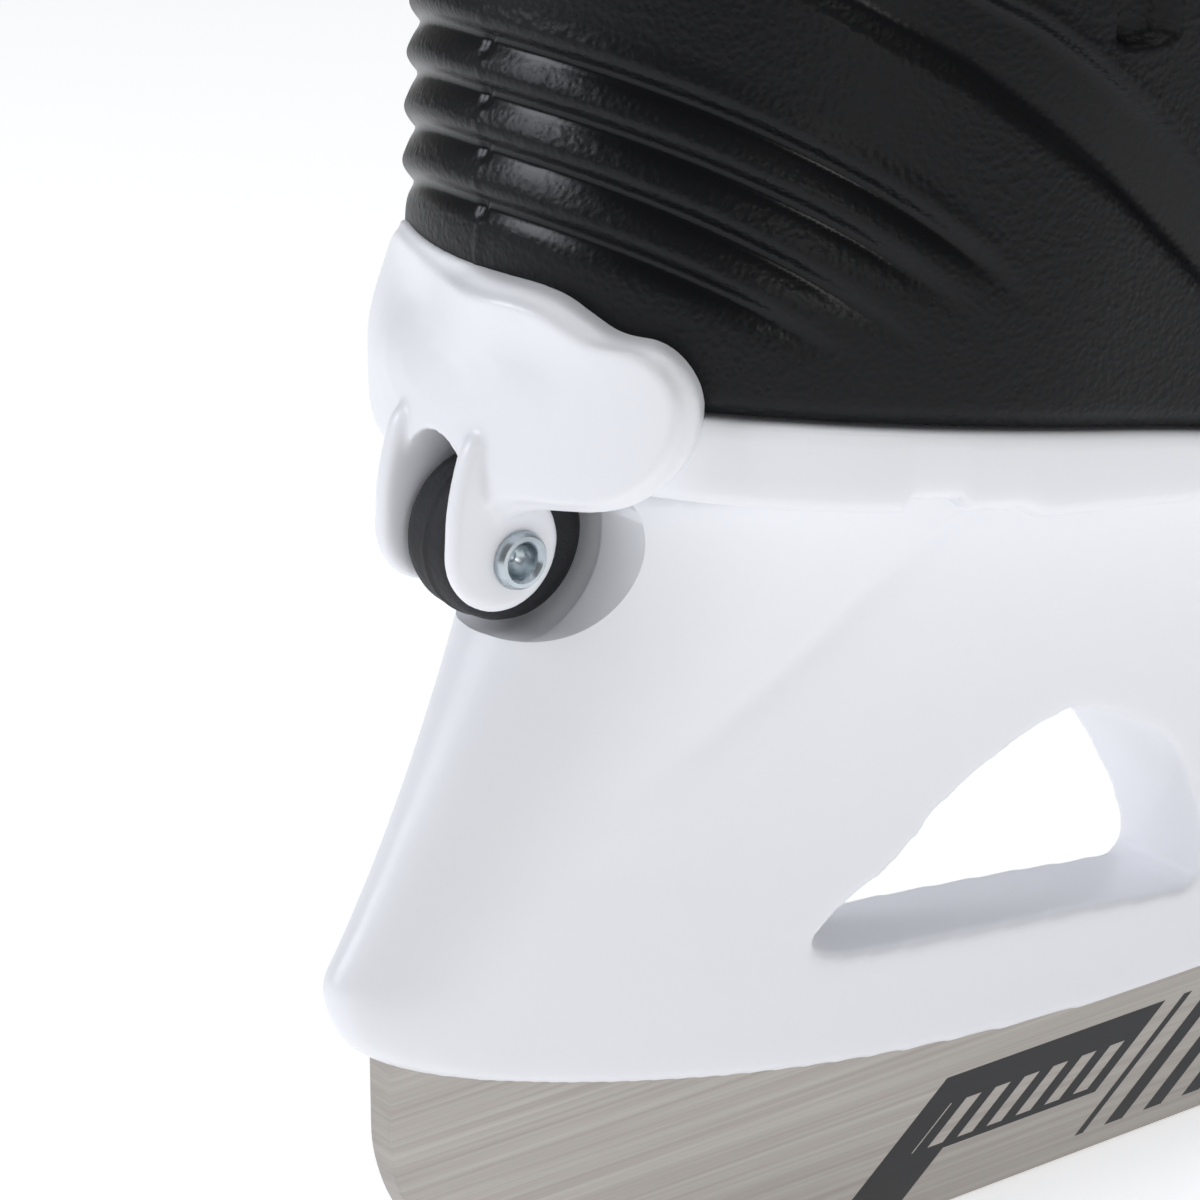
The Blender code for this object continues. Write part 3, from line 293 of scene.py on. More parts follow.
def run_along(points):
    """Distance along the line through the points, from the first to each."""
    return np.concatenate([[0.0], np.cumsum(np.linalg.norm(np.diff(points, axis=0), axis=1))])


def flow(points, count, ease=0.0008):
    """Closed curve through the points, each stretch a Catmull-Rom cubic, then evened."""
    p = np.asarray(points, float)
    t = np.linspace(0.0, len(p), count, endpoint=False)
    i = t.astype(int)
    f = (t - i)[:, None]
    return evened(between(*(p[(i + k) % len(p)] for k in (-1, 0, 1, 2)), f), ease)


def evened(curve, ease):
    """Closed curve read at even distances, each point then averaged with its neighbours by a bell."""
    loop = np.concatenate([curve, curve[:1]])
    run = run_along(loop)
    at = np.linspace(0.0, run[-1], len(curve), endpoint=False)
    even = np.stack([np.interp(at, run, loop[:, k]) for k in (0, 1)], -1)
    return averaged(even, 12, run[-1] / len(curve) / ease)


def averaged(values, reach, pace):
    """Closed row of values, each averaged with reach neighbours to each side by a bell of 1 / pace steps."""
    bell = np.exp(-(np.arange(-reach, reach + 1) * pace) ** 2)
    shares = zip(range(-reach, reach + 1), bell / bell.sum())
    return sum(np.roll(values, k, axis=0) * w for k, w in shares)


def crease_depth(x, z):
    """Shallow valley down the flank, from under the plate to above the tail: a bell across a line."""
    line_z = np.array([0.0509, 0.0521, 0.0581, 0.0648, 0.0742, 0.0800])
    line_x = np.array([0.0010, 0.0053, 0.0168, 0.0264, 0.0366, 0.0410])
    off = (x - np.interp(z, line_z, line_x)) * 0.66
    fade = smooth((z - 0.0500) / 0.0220)
    return 0.0006 * fade * np.exp(-(off / 0.0011) ** 2) + 0.0004 * fade * np.exp(-(off / 0.0040) ** 2)


def holder_half(x, z, low, high):
    """Half thickness: thin at the rail, swelling with height, flared under the plate, less the crease."""
    up = z - low
    swell = 0.0044 + 0.13 * np.clip(up, 0.0, 0.020) + 0.16 * np.clip(up - 0.020, 0.0, None)
    swell = swell + 2.2 * np.clip(up - 0.020, 0.0, None) ** 2
    return swell + 0.004 * np.exp((z - high) / 0.005) - crease_depth(x, z)


def holder_rings():
    """Level sections from rail to top: outer flank, rounded nose, inner flank and rounded tail."""
    u = (1.0 - np.cos(np.linspace(0.0, math.pi, 220))) / 2.0
    u = 0.45 * u + 0.55 * np.linspace(0.0, 1.0, 220)
    v, u = np.meshgrid(np.linspace(0.0, 1.0, 56), u, indexing="ij")
    back, front = holder_back(v), holder_front(v)
    x = back + u * (front - back)
    low, high = rail_z(x), plate_z(x) - 0.0009
    z = low + v * (high - low)
    from_end = np.minimum((x - back) / (0.010 + 0.012 * v), (front - x) / (0.010 + 0.004 * v))
    ends = np.sqrt(np.clip(1.0 - (1.0 - np.clip(from_end, 0.0, 1.0)) ** 2, 0.0, 1.0))
    half = holder_half(x, z, low, high) * ends
    near = np.stack([x + HEEL_X, -half, z], -1)
    far = np.stack([x + HEEL_X, half, z], -1)[:, ::-1]
    rings = np.concatenate([near, far[:, 1:-1]], axis=1)
    middle = rings.copy()
    middle[:, :, 1] = 0.0
    return np.concatenate([middle[:1], rings, middle[-1:]])


def outline_solid(name, outline, low, high):
    """Flat outline in X and Z carried from y = low to y = high, with both ends closed."""
    outline = np.asarray(outline, float)
    x, z = outline[:, 0] + HEEL_X, outline[:, 1]
    rings = [np.stack([x, np.full(len(x), y), z], -1) for y in (low, high)]
    return surface(name, capped(np.stack(rings)), wrap=True)


def carve(made, cutter, operation="DIFFERENCE"):
    """Applies an exact Boolean and removes the cutter."""
    step = made.modifiers.new("carve", "BOOLEAN")
    step.operation = operation
    step.solver = "EXACT"
    step.object = cutter
    apply_all(made)
    bpy.data.objects.remove(cutter, do_unlink=True)


def apply_all(made):
    """Replaces the mesh by what its modifiers give."""
    graph = bpy.context.evaluated_depsgraph_get()
    mesh = bpy.data.meshes.new_from_object(made.evaluated_get(graph))
    made.modifiers.clear()
    made.data = mesh


def soften(made, pitch, passes):
    """Moulded rounding: an even remesh at pitch, then that many passes of an averaging filter."""
    remesh = made.modifiers.new("even", "REMESH")
    remesh.mode = "VOXEL"
    remesh.voxel_size = pitch
    remesh.use_smooth_shade = True
    relax = made.modifiers.new("relax", "SMOOTH")
    relax.factor = 0.5
    relax.iterations = passes
    apply_all(made)
    made.data.shade_smooth()


def full_turn(count):
    """Angles of a whole turn in even steps."""
    return np.linspace(0.0, 2.0 * math.pi, count, endpoint=False)


def circle(x, z, radius, count=64):
    """Points of a circle in the side view."""
    turn = full_turn(count)
    return np.stack([x + radius * np.cos(turn), z + radius * np.sin(turn)], -1)


WINDOWS = {
    "rear": [(0.0318, 0.0345), (0.0345, 0.0325), (0.0412, 0.0313), (0.0532, 0.0300), (0.0658, 0.0286),
             (0.0780, 0.0272), (0.0800, 0.0290), (0.0790, 0.0340), (0.0745, 0.0423), (0.0692, 0.0466),
             (0.0627, 0.0499), (0.0584, 0.0510), (0.0524, 0.0490), (0.0454, 0.0450), (0.0409, 0.0403),
             (0.0363, 0.0377)],
    "middle": [(0.0975, 0.0262), (0.1150, 0.0258), (0.1350, 0.0258), (0.1550, 0.0258), (0.1695, 0.0264),
               (0.1710, 0.0300), (0.1680, 0.0390), (0.1640, 0.0470), (0.1580, 0.0495), (0.1400, 0.0500),
               (0.1200, 0.0500), (0.1080, 0.0492), (0.1020, 0.0440), (0.0975, 0.0350), (0.0952, 0.0290)],
    "front": [(0.1900, 0.0268), (0.2050, 0.0268), (0.2200, 0.0278), (0.2320, 0.0290), (0.2310, 0.0320),
              (0.2180, 0.0380), (0.2060, 0.0445), (0.1970, 0.0485), (0.1895, 0.0480), (0.1872, 0.0380),
              (0.1880, 0.0290)],
}


def nylon_material():
    """White nylon with a satin polish: light goes a little way in, and its skin waves very slightly."""
    made, tree, shader = finish("nylon_white_moulded", "#F0F1F5", 0.34, IOR=1.53, Subsurface_Weight=0.12,
                                Subsurface_Radius=(0.0016, 0.0015, 0.0017), Subsurface_Scale=1.0)
    place = add(tree, "TexCoord").outputs["Object"]
    flowing = add(tree, "TexNoise", {"Vector": place, "Scale": 45.0, "Detail": 2.0})
    fine = add(tree, "TexNoise", {"Vector": place, "Scale": 1400.0, "Detail": 2.0})
    rough = add(tree, "MapRange", {"Value": flowing, "To Min": 0.28, "To Max": 0.42})
    wave = add(tree, "Bump", {"Height": flowing, "Strength": 0.10, "Distance": 0.0004})
    grain = add(tree, "Bump", {"Height": fine, "Strength": 0.10, "Distance": 0.00004, "Normal": wave})
    wire(shader, Roughness=rough, Normal=grain)
    return made


nylon = nylon_material()
holder = surface("blade_tower", holder_rings(), wrap=True)
for name, corners in WINDOWS.items():
    carve(holder, outline_solid(name, flow(corners, 120), -0.04, 0.04))
for x in (0.0482, 0.0518):  # two cored holes side by side, under the plate
    carve(holder, outline_solid("rib_gap", circle(x, 0.0772, 0.0019, 24), -0.04, -0.0040))
soften(holder, 0.00062, 12)
carve(holder, outline_solid("recess", circle(RECESS_X, RECESS_Z, RECESS_RADIUS, 96), -0.04, 0.04))
carve(holder, outline_solid("pocket", circle(POCKET_X, POCKET_Z, POCKET_RADIUS, 96), -0.0050, 0.0050))
shade(holder.data, 45.0)
settle(holder, nylon, "skate", "white_plastic", "blade_holder")


# ---- The last -----------------------------------------------------------------------------------
# The boot is drawn on one surface: s runs round the foot from the heel over the outer side, and v up
# the wall, 0 at the sole, 1 at the ankle and 2 at the top of the shaft.

BOOT_LENGTH, HEEL_HALF_WIDTH, HEEL_ROUND = 0.292, 0.034, 0.038
BALL_HALF_WIDTH, BALL_X = 0.0465, 0.205


def sole_table(count=400):
    """Run, x and half width of the sole edge: a heel ellipse, a waist that widens, and a toe oval."""
    turn = np.linspace(0.0, math.pi / 2, count)
    side_x = np.linspace(HEEL_ROUND, BALL_X, count)[1:-1]
    waist = HEEL_HALF_WIDTH - 0.0012 * smooth((side_x - 0.060) / 0.045)
    side_w = waist + (BALL_HALF_WIDTH - waist) * smooth((side_x - 0.100) / 0.105)
    toe_x = BALL_X + (BOOT_LENGTH - BALL_X) * np.sin(turn) ** 0.86
    x = np.concatenate([HEEL_ROUND * (1.0 - np.cos(turn)), side_x, toe_x])
    w = np.concatenate([HEEL_HALF_WIDTH * np.sin(turn), side_w, BALL_HALF_WIDTH * np.cos(turn) ** 0.86])
    run = run_along(np.stack([x, w], -1))
    return run / run[-1], x, w


RUN, EDGE_X, EDGE_W = sole_table()


def swing(x):
    """How far the centre line of the foot bends to the inner side."""
    return 0.004 * smooth((x - 0.120) / 0.160)


def shaft_turn(s):
    """Share of a turn round the shaft that belongs to share s of the sole edge."""
    q = np.abs(1.0 - 2.0 * np.minimum(s, 1.0 - s))
    half = 0.5 * (1.0 - (0.88 * q**2.5 + 0.12 * q))
    return np.where(s <= 0.5, half, 1.0 - half)


def hermite(p0, m0, p1, m1, t):
    """Cubic from p0 with slope m0 to p1 with slope m1."""
    t = t[..., None]
    a = (2 * t**3 - 3 * t**2 + 1) * p0 + (t**3 - 2 * t**2 + t) * m0
    return a + (3 * t**2 - 2 * t**3) * p1 + (t**3 - t**2) * m1


def last_point(s, v):
    """Two cubic stretches up each line: sole edge to ankle oval, and ankle oval to the top oval."""
    s, v = np.broadcast_arrays(np.asarray(s, float) % 1.0, np.asarray(v, float))
    side = np.where(s <= 0.5, -1.0, 1.0)
    near = np.minimum(s, 1.0 - s) * 2.0
    x0, w0 = np.interp(near, RUN, EDGE_X), np.interp(near, RUN, EDGE_W)
    turn = 2.0 * math.pi * shaft_turn(s)
    front, toe, zero = (1.0 - np.cos(turn)) / 2.0, smooth(near), np.zeros_like(x0)
    sole = np.stack([x0, side * w0 + swing(x0), seam_z(x0)], -1)
    ankle = np.stack([0.068 - 0.064 * np.cos(turn), -0.038 * np.sin(turn), 0.168 - 0.004 * front], -1)
    top = np.stack([0.064 - 0.054 * np.cos(turn), -0.044 * np.sin(turn), 0.302 + 0.012 * np.cos(turn)], -1)
    rise = 0.075 + 0.105 * toe
    start = np.stack([zero, side * np.abs(np.sin(math.pi * near)) * 0.10 * rise, rise], -1)
    lean = np.stack([0.03 - 0.56 * front**2, zero, 1.0 - 0.16 * front**2], -1)
    end = np.stack([zero, -0.020 * np.sin(turn), 0.135 + zero], -1)
    low = hermite(sole, start, ankle, lean * (0.075 + 0.085 * toe)[..., None], v)
    high = hermite(ankle, lean * (0.140 - 0.035 * front)[..., None], top, end, v - 1.0)
    point = np.where((v <= 1.0)[..., None], low, high)
    return np.where((v > 2.0)[..., None], top + end * (v - 2.0)[..., None], point)


def off_last(s, v, out):
    """The last moved along its normal, which is the cross product of central differences."""
    v = np.asarray(v, float)
    along = last_point(s + 0.002, v) - last_point(s - 0.002, v)
    up = last_point(s, v + 0.01) - last_point(s, np.maximum(v - 0.01, 0.0))
    normal = np.cross(along, up)
    normal /= np.linalg.norm(normal, axis=-1, keepdims=True)
    return last_point(s, v) + normal * np.asarray(out)[..., None]


def in_skate(points):
    """Heel distances to the skate's own frame."""
    return points + np.array([HEEL_X, 0.0, 0.0])


# ---- Sole plate ---------------------------------------------------------------------------------
# The white flange of the chassis that the shell stands on, moulded in the same nylon. Its edge is
# rounded below, follows the sole, and dips under the clip's end, with a short gap before the dip.

PLATE_COLS = 560
SOLE_MIDDLE = np.array([0.140, 0.0, 0.0])


def around_sole(count, dense=2.0):
    """Shares s round the sole, drawn closer by a bell of the given height across the heel."""
    s = np.linspace(0.0, 1.0, 4001)
    off = (s + 0.48) % 1.0 - 0.5
    weight = 1.0 + dense * np.exp(-(off / 0.066) ** 4)
    run = np.concatenate([[0.0], np.cumsum((weight[1:] + weight[:-1]) / 2.0)])
    return np.interp(np.arange(count) / count, run / run[-1], s)


def plate_rings():
    """From the middle of the underside out, round the edge and back over the top to the middle."""
    s = around_sole(PLATE_COLS)
    edge = last_point(s, 0.0)
    x = edge[:, 0]
    outward = off_last(s, 0.0, 0.001) - edge
    outward[:, 2] = 0.0
    outward /= np.linalg.norm(outward, axis=1, keepdims=True)
    outer = np.where(s < 0.5, 1.0, 0.0)
    dip = 0.0010 * smooth((x - 0.0300) / 0.0030) * smooth((0.0500 - x) / 0.0012) * outer
    notch = 0.0011 * smooth((x - 0.0203) / 0.0006) * smooth((0.0256 - x) / 0.0006) * outer
    low = plate_z(x) - dip + notch
    high = seam_z(x) - 0.0005
    middle = SOLE_MIDDLE[:2]
    rings = []
    for share in (0.0, 0.3, 0.6, 0.85):
        flat = middle + (edge[:, :2] - middle) * share
        rings.append(np.column_stack([flat, plate_z(flat[:, 0])]))
    section = [(-0.0045, 0.0), (-0.0026, 0.0), (-0.0015, 0.04), (-0.0008, 0.11), (-0.0004, 0.22),
               (-0.0002, 0.38), (0.0, 0.58), (0.0002, 0.80), (0.0002, 0.93), (0.0, 0.975), (-0.0004, 1.0),
               (-0.0012, 1.0)]
    for out, rise in section:
        flat = edge[:, :2] + outward[:, :2] * out
        rings.append(np.column_stack([flat, low + rise * (high - low)]))
    for share in (0.95, 0.85, 0.6, 0.3, 0.0):
        flat = middle + (edge[:, :2] - middle) * share
        rings.append(np.column_stack([flat, seam_z(flat[:, 0]) - 0.0005]))
    return in_skate(np.stack(rings))


plate = surface("sole_flange", plate_rings(), wrap=True, sharp=50.0)
carve(plate, outline_solid("roller_room", circle(POCKET_X, POCKET_Z, 0.0078), -0.0046, 0.0046))
shade(plate.data, 50.0)
settle(plate, nylon, "skate", "white_plastic", "sole_plate")


# ---- Lower shell --------------------------------------------------------------------------------
# The hard boot, injection moulded in black polypropylene with a fine leather grain. Ribs wrap the
# heel and meet at the mould's parting line, and a polished valley runs down the side beside them.

SHELL_WALL = 0.0028
RIB_LINES = ((0.1190, 0.00270, 0.0500), (0.1146, 0.00275, 0.0450), (0.1102, 0.00305, 0.0405),
             (0.1055, 0.00310, 0.0350))


def climb_to(s, stop, v_to=2.6, count=521):
    """First v on each line where stop(point) turns positive, by linear reading between samples."""
    v = np.linspace(0.0, v_to, count)
    value = stop(last_point(s[:, None], v[None, :]))
    past = value > 0.0
    past[:, -1] = True
    i = np.maximum(np.argmax(past, axis=1), 1)
    rows = np.arange(len(s))
    a, b = value[rows, i - 1], value[rows, i]
    share = np.clip(-a / np.where(b - a == 0.0, 1.0, b - a), 0.0, 1.0)
    return v[i - 1] + share * (v[i] - v[i - 1])


def shell_stop(point):
    """Positive above the collar, or inside the throat over the instep."""
    x, y, z = point[..., 0], point[..., 1] - swing(point[..., 0]), point[..., 2]
    above = z - 0.165 - 0.009 * smooth((x - 0.010) / 0.030)
    inside = np.minimum(np.minimum(0.205 - x, x - 0.090), 0.022 - np.abs(y))
    return np.maximum(above, np.minimum(inside, z - seam_z(x) - 0.030))


def heel_arc(point):
    """Distance round the heel from its middle: the run of the sole's heel ellipse to that x."""
    turn = np.linspace(0.0, math.pi / 2, 300)
    x, y = HEEL_ROUND * (1.0 - np.cos(turn)), HEEL_HALF_WIDTH * np.sin(turn)
    past = np.clip(point[..., 0] - HEEL_ROUND, 0.0, None)
    return np.interp(point[..., 0], x, run_along(np.stack([x, y], -1))) + past


def rib_relief(point):
    """Ribs of the heel: each swells towards its lower lip, then drops into a narrow groove.

    A groove falls from its height on the middle line, in mm, by its factor times the arc to the 2.29."""
    arc, z = heel_arc(point), point[..., 2]
    relief, polish = np.zeros_like(z), np.zeros_like(z)
    for start, fall, reach in RIB_LINES:
        line = start - 0.001 * fall * (np.clip(arc, 0.0, None) * 1000.0) ** 2.29
        above = z - line
        fade = 1.0 - smooth((arc - reach + 0.012) / 0.012)
        groove = np.exp(-(above / 0.00092) ** 2) + 0.30 * np.exp(-((above + 0.0009) / 0.0013) ** 2)
        swell = np.exp(-((above - 0.0016) / 0.0012) ** 2)
        relief += fade * (0.00034 * swell - 0.00062 * groove)
        polish = np.maximum(polish, fade * np.exp(-((above + 0.0004) / 0.0012) ** 2))
    # The parting line of the mould is a hair of flash down the middle, nicked where it crosses a groove.
    middle = np.exp(-((point[..., 1] + 0.0004) / 0.0004) ** 2)
    relief += middle * np.where(polish > 0.5, -0.0003, 0.00012)
    return relief, polish


def valley_relief(point):
    """Valley between two slanted lines of the side view: flat floor, soft lower and firm upper edge."""
    x, z = point[..., 0], point[..., 2]
    low = np.interp(x, [0.0, 0.0132, 0.0184, 0.0243, 0.0312, 0.0373, 0.0466, 0.0600, 0.0800],
                    [0.1330, 0.1247, 0.1211, 0.1173, 0.1120, 0.1071, 0.0987, 0.0850, 0.0600])
    high = np.interp(x, [0.0, 0.0260, 0.0308, 0.0357, 0.0412, 0.0459, 0.0600, 0.0900],
                     [0.1440, 0.1241, 0.1214, 0.1177, 0.1130, 0.1082, 0.0930, 0.0560])
    fade = smooth((x - 0.004) / 0.012) * (1.0 - smooth((x - 0.0560) / 0.0180))
    inside = smooth((z - low + 0.0008) / 0.0030) * (1.0 - smooth((z - high + 0.0008) / 0.0016))
    lip = np.exp(-((z - high - 0.0006) / 0.0008) ** 2)
    return fade * (-0.0012 * inside + 0.00025 * lip), fade * inside


def vent_relief(point):
    """Row of upright slots sunk in the side: a rounded box 5.3 mm wide, repeated every 13 mm."""
    x, z = point[..., 0], point[..., 2]
    middle = 0.0397 + 0.013 * np.clip(np.round((x - 0.0397) / 0.013), 0, 3)
    low, high = 0.1190 - 0.18 * (middle - 0.0397), 0.1420 - 0.22 * (middle - 0.0397)
    beside = np.abs(x - middle) - 0.0012
    past = np.maximum(low + 0.0015 - z, z - high)
    away = np.hypot(np.clip(beside, 0.0, None), np.clip(past, 0.0, None))
    return -0.0014 * (1.0 - smooth((away - 0.0010) / 0.0007))


def drawn_in(ring, along, across, height):
    """Ring shrunk towards the middle of the sole by two factors, at the given height over the seat."""
    ring = (ring - SOLE_MIDDLE) * [along, across, 1.0] + SOLE_MIDDLE
    ring[:, 2] = seam_z(ring[:, 0]) + height
    return ring


def shell_rings():
    """Floor from its middle out, wall to the collar, rounded rim, then the inner wall and floor back."""
    s = around_sole(600, 3.2)
    reach = climb_to(s, shell_stop)
    edge, foot_ring = last_point(s, 0.0), off_last(s, 0.0, -0.0007)
    floor = [drawn_in(edge, k, k, 0.0) for k in (0.0, 0.4, 0.75, 0.93)] + [drawn_in(foot_ring, 1.0, 1.0, 0.0)]
    t = np.concatenate([np.linspace(0.0, 0.46, 108), np.linspace(0.46, 1.0, 34)[1:]])[:, None]
    start = 0.006
    v = start + t * (reach - start)
    wall = last_point(s, v)
    ribs, polish = rib_relief(wall)
    valley, shine = valley_relief(wall)
    foot = -0.0006 * np.exp(-((wall[..., 2] - seam_z(wall[..., 0])) / 0.0009) ** 2)
    rim = 0.0007 * (1.0 - smooth((reach - v) / 0.030))
    outer = off_last(s, v, ribs + valley + vent_relief(wall) + foot + rim)
    lip = [off_last(s, reach + rise, out) for rise, out in
           ((0.004, 0.0002), (0.006, -0.0008), (0.006, -0.0018), (0.004, -0.0026))]
    inner_v = start + np.linspace(1.0, 0.06, 8)[:, None] * (reach - start)
    inner = off_last(s, inner_v, -SHELL_WALL)
    pad = off_last(s, 0.0, -SHELL_WALL)
    back = [drawn_in(pad, k, k, SHELL_WALL) for k in (0.97, 0.7, 0.35, 0.0)]
    rings = np.concatenate([np.stack(floor), outer, np.stack(lip), inner, np.stack(back)])
    gloss = np.zeros(rings.shape[:2])
    gloss[len(floor):len(floor) + len(v)] = np.maximum(polish, 0.8 * shine)
    return in_skate(rings), gloss


def shell_material():
    """Black polypropylene: a blue black, with a leather grain 0.5 mm across and polished grooves."""
    made, tree, shader = finish("polypropylene_black_grained", "#06070A", 0.42, IOR=1.49,
                                Specular_IOR_Level=0.24)
    place = add(tree, "TexCoord").outputs["Object"]
    pebble = add(tree, "TexVoronoi", {"Vector": place, "Scale": 1900.0}, feature="SMOOTH_F1")
    bend = add(tree, "TexNoise", {"Vector": place, "Scale": 1100.0, "Detail": 3.0})
    broad = add(tree, "TexNoise", {"Vector": place, "Scale": 60.0, "Detail": 3.0})
    mixed = add(tree, "Math", {0: pebble, 1: bend}, operation="MULTIPLY")
    worn = add(tree, "Attribute", attribute_name="polish").outputs["Fac"]
    left = add(tree, "MapRange", {"Value": worn, "To Min": 1.0, "To Max": 0.12})
    height = add(tree, "Math", {0: mixed, 1: left}, operation="MULTIPLY")
    bump = add(tree, "Bump", {"Height": height, "Strength": 0.8, "Distance": 0.00018})
    rough = add(tree, "MapRange", {"Value": broad, "To Min": 0.38, "To Max": 0.50})
    sleek = add(tree, "Math", {0: worn, 1: -0.20, 2: rough}, operation="MULTIPLY_ADD")
    wire(shader, Roughness=sleek, Normal=bump)
    return made


rings, gloss = shell_rings()
shell = surface("boot_shell", rings, wrap=True, sharp=60.0, polish=gloss)
polypropylene = shell_material()
settle(shell, polypropylene, "skate", "black_plastic", "lower_shell")


# ---- Heel clip, roller and rivet ----------------------------------------------------------------
# A white nylon clip hugs the back of the sole. Two ears hold a black rubber roller on a tubular
# rivet of zinc plated steel, whose ends are rolled over the ears.

CLIP_BACK, CLIP_LEAST = -0.0007, 0.0004
CLIP_MIDDLE = np.array([0.0, 0.0930])
RIVET_X, RIVET_Z = 0.0, 0.0770
CLIP_UPPER = [
    (0.0, 0.1004), (0.0050, 0.1004), (0.0085, 0.1003), (0.0115, 0.0998), (0.0140, 0.0987),
    (0.0164, 0.0976), (0.0182, 0.0973), (0.0200, 0.0972), (0.0217, 0.0965), (0.0231, 0.0952),
    (0.0240, 0.0936), (0.0242, 0.0920),
]
CLIP_INNER_UPPER = [
    (0.0050, 0.1004), (0.0110, 0.1004), (0.0165, 0.1002), (0.0205, 0.0992), (0.0232, 0.0968),
    (0.0242, 0.0930),
]
CLIP_LOWER = [
    (0.0240, 0.0903), (0.0234, 0.0886), (0.0222, 0.0868), (0.0206, 0.0852), (0.0186, 0.0839),
    (0.0164, 0.0831), (0.0140, 0.0827), (0.0110, 0.0824), (0.0085, 0.0818), (0.0062, 0.0808),
    (0.0030, 0.0806),
]


def heel_point(arc, z, out):
    """Point at distance out from the heel ellipse, at the given run round it from the middle."""
    turn = np.linspace(-1.3, 1.3, 801)
    x = HEEL_ROUND - HEEL_ROUND * np.cos(turn)
    y = HEEL_HALF_WIDTH * np.sin(turn)
    run = run_along(np.stack([x, y], -1)) * 1.09
    t = np.interp(arc, run - run[400], turn)
    x, y = HEEL_ROUND - HEEL_ROUND * np.cos(t), HEEL_HALF_WIDTH * np.sin(t)
    nx, ny = -HEEL_HALF_WIDTH * np.cos(t), HEEL_ROUND * np.sin(t)
    size = np.hypot(nx, ny)
    return np.stack([x + nx / size * out, y + ny / size * out, np.broadcast_to(z, x.shape)], -1)


def clip_rings():
    """Face rings from the middle to the outline, over its step and edge, and the inner rings back."""
    outer = np.array(CLIP_UPPER + CLIP_LOWER)[::-1] * [-1.0, 1.0]
    outline = flow(np.concatenate([np.array(CLIP_INNER_UPPER + CLIP_LOWER), outer]), 420, 0.0006)
    spoke = outline - CLIP_MIDDLE
    reach = np.linalg.norm(spoke, axis=1)
    face = [(np.full(len(spoke), share), 0.0) for share in (0.0, 0.15, 0.3, 0.45, 0.6, 0.72, 0.82)]
    face += [(1.0 - inset / reach, drop) for inset, drop in
             ((0.0021, 0.0), (0.0017, 0.0001), (0.0013, 0.0005), (0.0011, 0.0010), (0.0006, 0.0011),
              (0.0002, 0.0014), (0.0, 0.0019))]
    rings = []
    for share, drop in face:
        flat = CLIP_MIDDLE + spoke * share[:, None]
        out = np.maximum(face_height(flat) - drop, CLIP_LEAST)
        rings.append(heel_point(flat[:, 0], flat[:, 1], out))
    inside = [np.full(len(spoke), share) for share in (0.6, 0.3, 0.0)]
    for share in [np.ones(len(spoke)), 1.0 - 0.0010 / reach] + inside:
        flat = CLIP_MIDDLE + spoke * share[:, None]
        rings.append(heel_point(flat[:, 0], flat[:, 1], np.full(len(flat), CLIP_BACK)))
    return in_skate(np.stack(rings[::-1]))


def face_height(flat):
    """Stand-off of the face: 3.3 mm, more low at the back, less a dimple, and thin at its inner top."""
    arc, z = flat[:, 0], flat[:, 1]
    flare = 0.0010 * smooth((0.0930 - z) / 0.0090) * np.exp(-(arc / 0.0110) ** 2)
    dimple = 0.0007 * np.exp(-((np.abs(arc) - 0.0095) / 0.0045) ** 2 - ((z - 0.0955) / 0.0028) ** 2)
    flush = 0.0024 * smooth((z - 0.0890) / 0.0114) * smooth((arc + 0.0070) / 0.0120)
    return 0.0033 + flare - dimple - flush


def ear_outline():
    """Disc about the rivet with a neck up into the clip."""
    x, z, r = -0.0010, 0.0779, 0.0054
    turn = np.radians(np.linspace(30.0, -190.0, 15))
    disc = np.stack([x + r * np.cos(turn), z + r * np.sin(turn)], -1)
    neck = np.array([(-0.0062, 0.0812), (-0.0055, 0.0845), (-0.0040, 0.0880), (-0.0012, 0.0880),
                     (0.0010, 0.0850), (0.0026, 0.0824)])
    return flow(np.concatenate([disc, neck]), 120)


def ear_rings(side):
    """Ear between its two faces, with both edges rounded by 0.7 mm."""
    outline = ear_outline()
    middle = np.array([-0.0015, 0.0800])
    rings = []
    reach = np.linalg.norm(outline - middle, axis=1, keepdims=True)
    for y, inset in ((0.0040, 1.0), (0.0040, 0.0006), (0.0043, 0.0002), (0.0050, 0.0), (0.0056, 0.0002),
                     (0.0060, 0.0008), (0.0060, 1.0)):
        flat = middle + (outline - middle) * np.clip(1.0 - inset / reach, 0.0, 1.0)
        rings.append(np.column_stack([flat[:, 0] + HEEL_X, np.full(len(flat), side * y), flat[:, 1]]))
    return np.stack(rings)


clip = surface("clip", clip_rings(), wrap=True)
across = circle(0.0, 0.0830, 0.0041, 48)
arch = np.where(across[:, 1:] > 0.0830, across, across - [0.0, 0.0120])
arch = np.stack([np.column_stack([np.full(48, x + HEEL_X), arch]) for x in (-0.03, 0.03)])
carve(clip, surface("arch", capped(arch), wrap=True))
for side in (-1.0, 1.0):
    carve(clip, surface("ear", ear_rings(side), wrap=True), "UNION")
soften(clip, 0.00028, 9)
carve(clip, outline_solid("rivet_hole", circle(RIVET_X, RIVET_Z, 0.0018, 32), -0.012, 0.012))
shade(clip.data, 55.0)
settle(clip, nylon, "skate", "white_plastic", "heel_clip")


def turned(name, profile, x, z, count=96):
    """Profile of (radius, y) turned round the level cross axis at heel distance x and height z."""
    profile = np.asarray(profile, float)
    turn = full_turn(count)
    r, y = profile[:, :1], np.broadcast_to(profile[:, 1:], (len(profile), count))
    points = np.stack([x + HEEL_X + r * np.cos(turn), y, z + r * np.sin(turn)], -1)
    return surface(name, points, wrap=True)


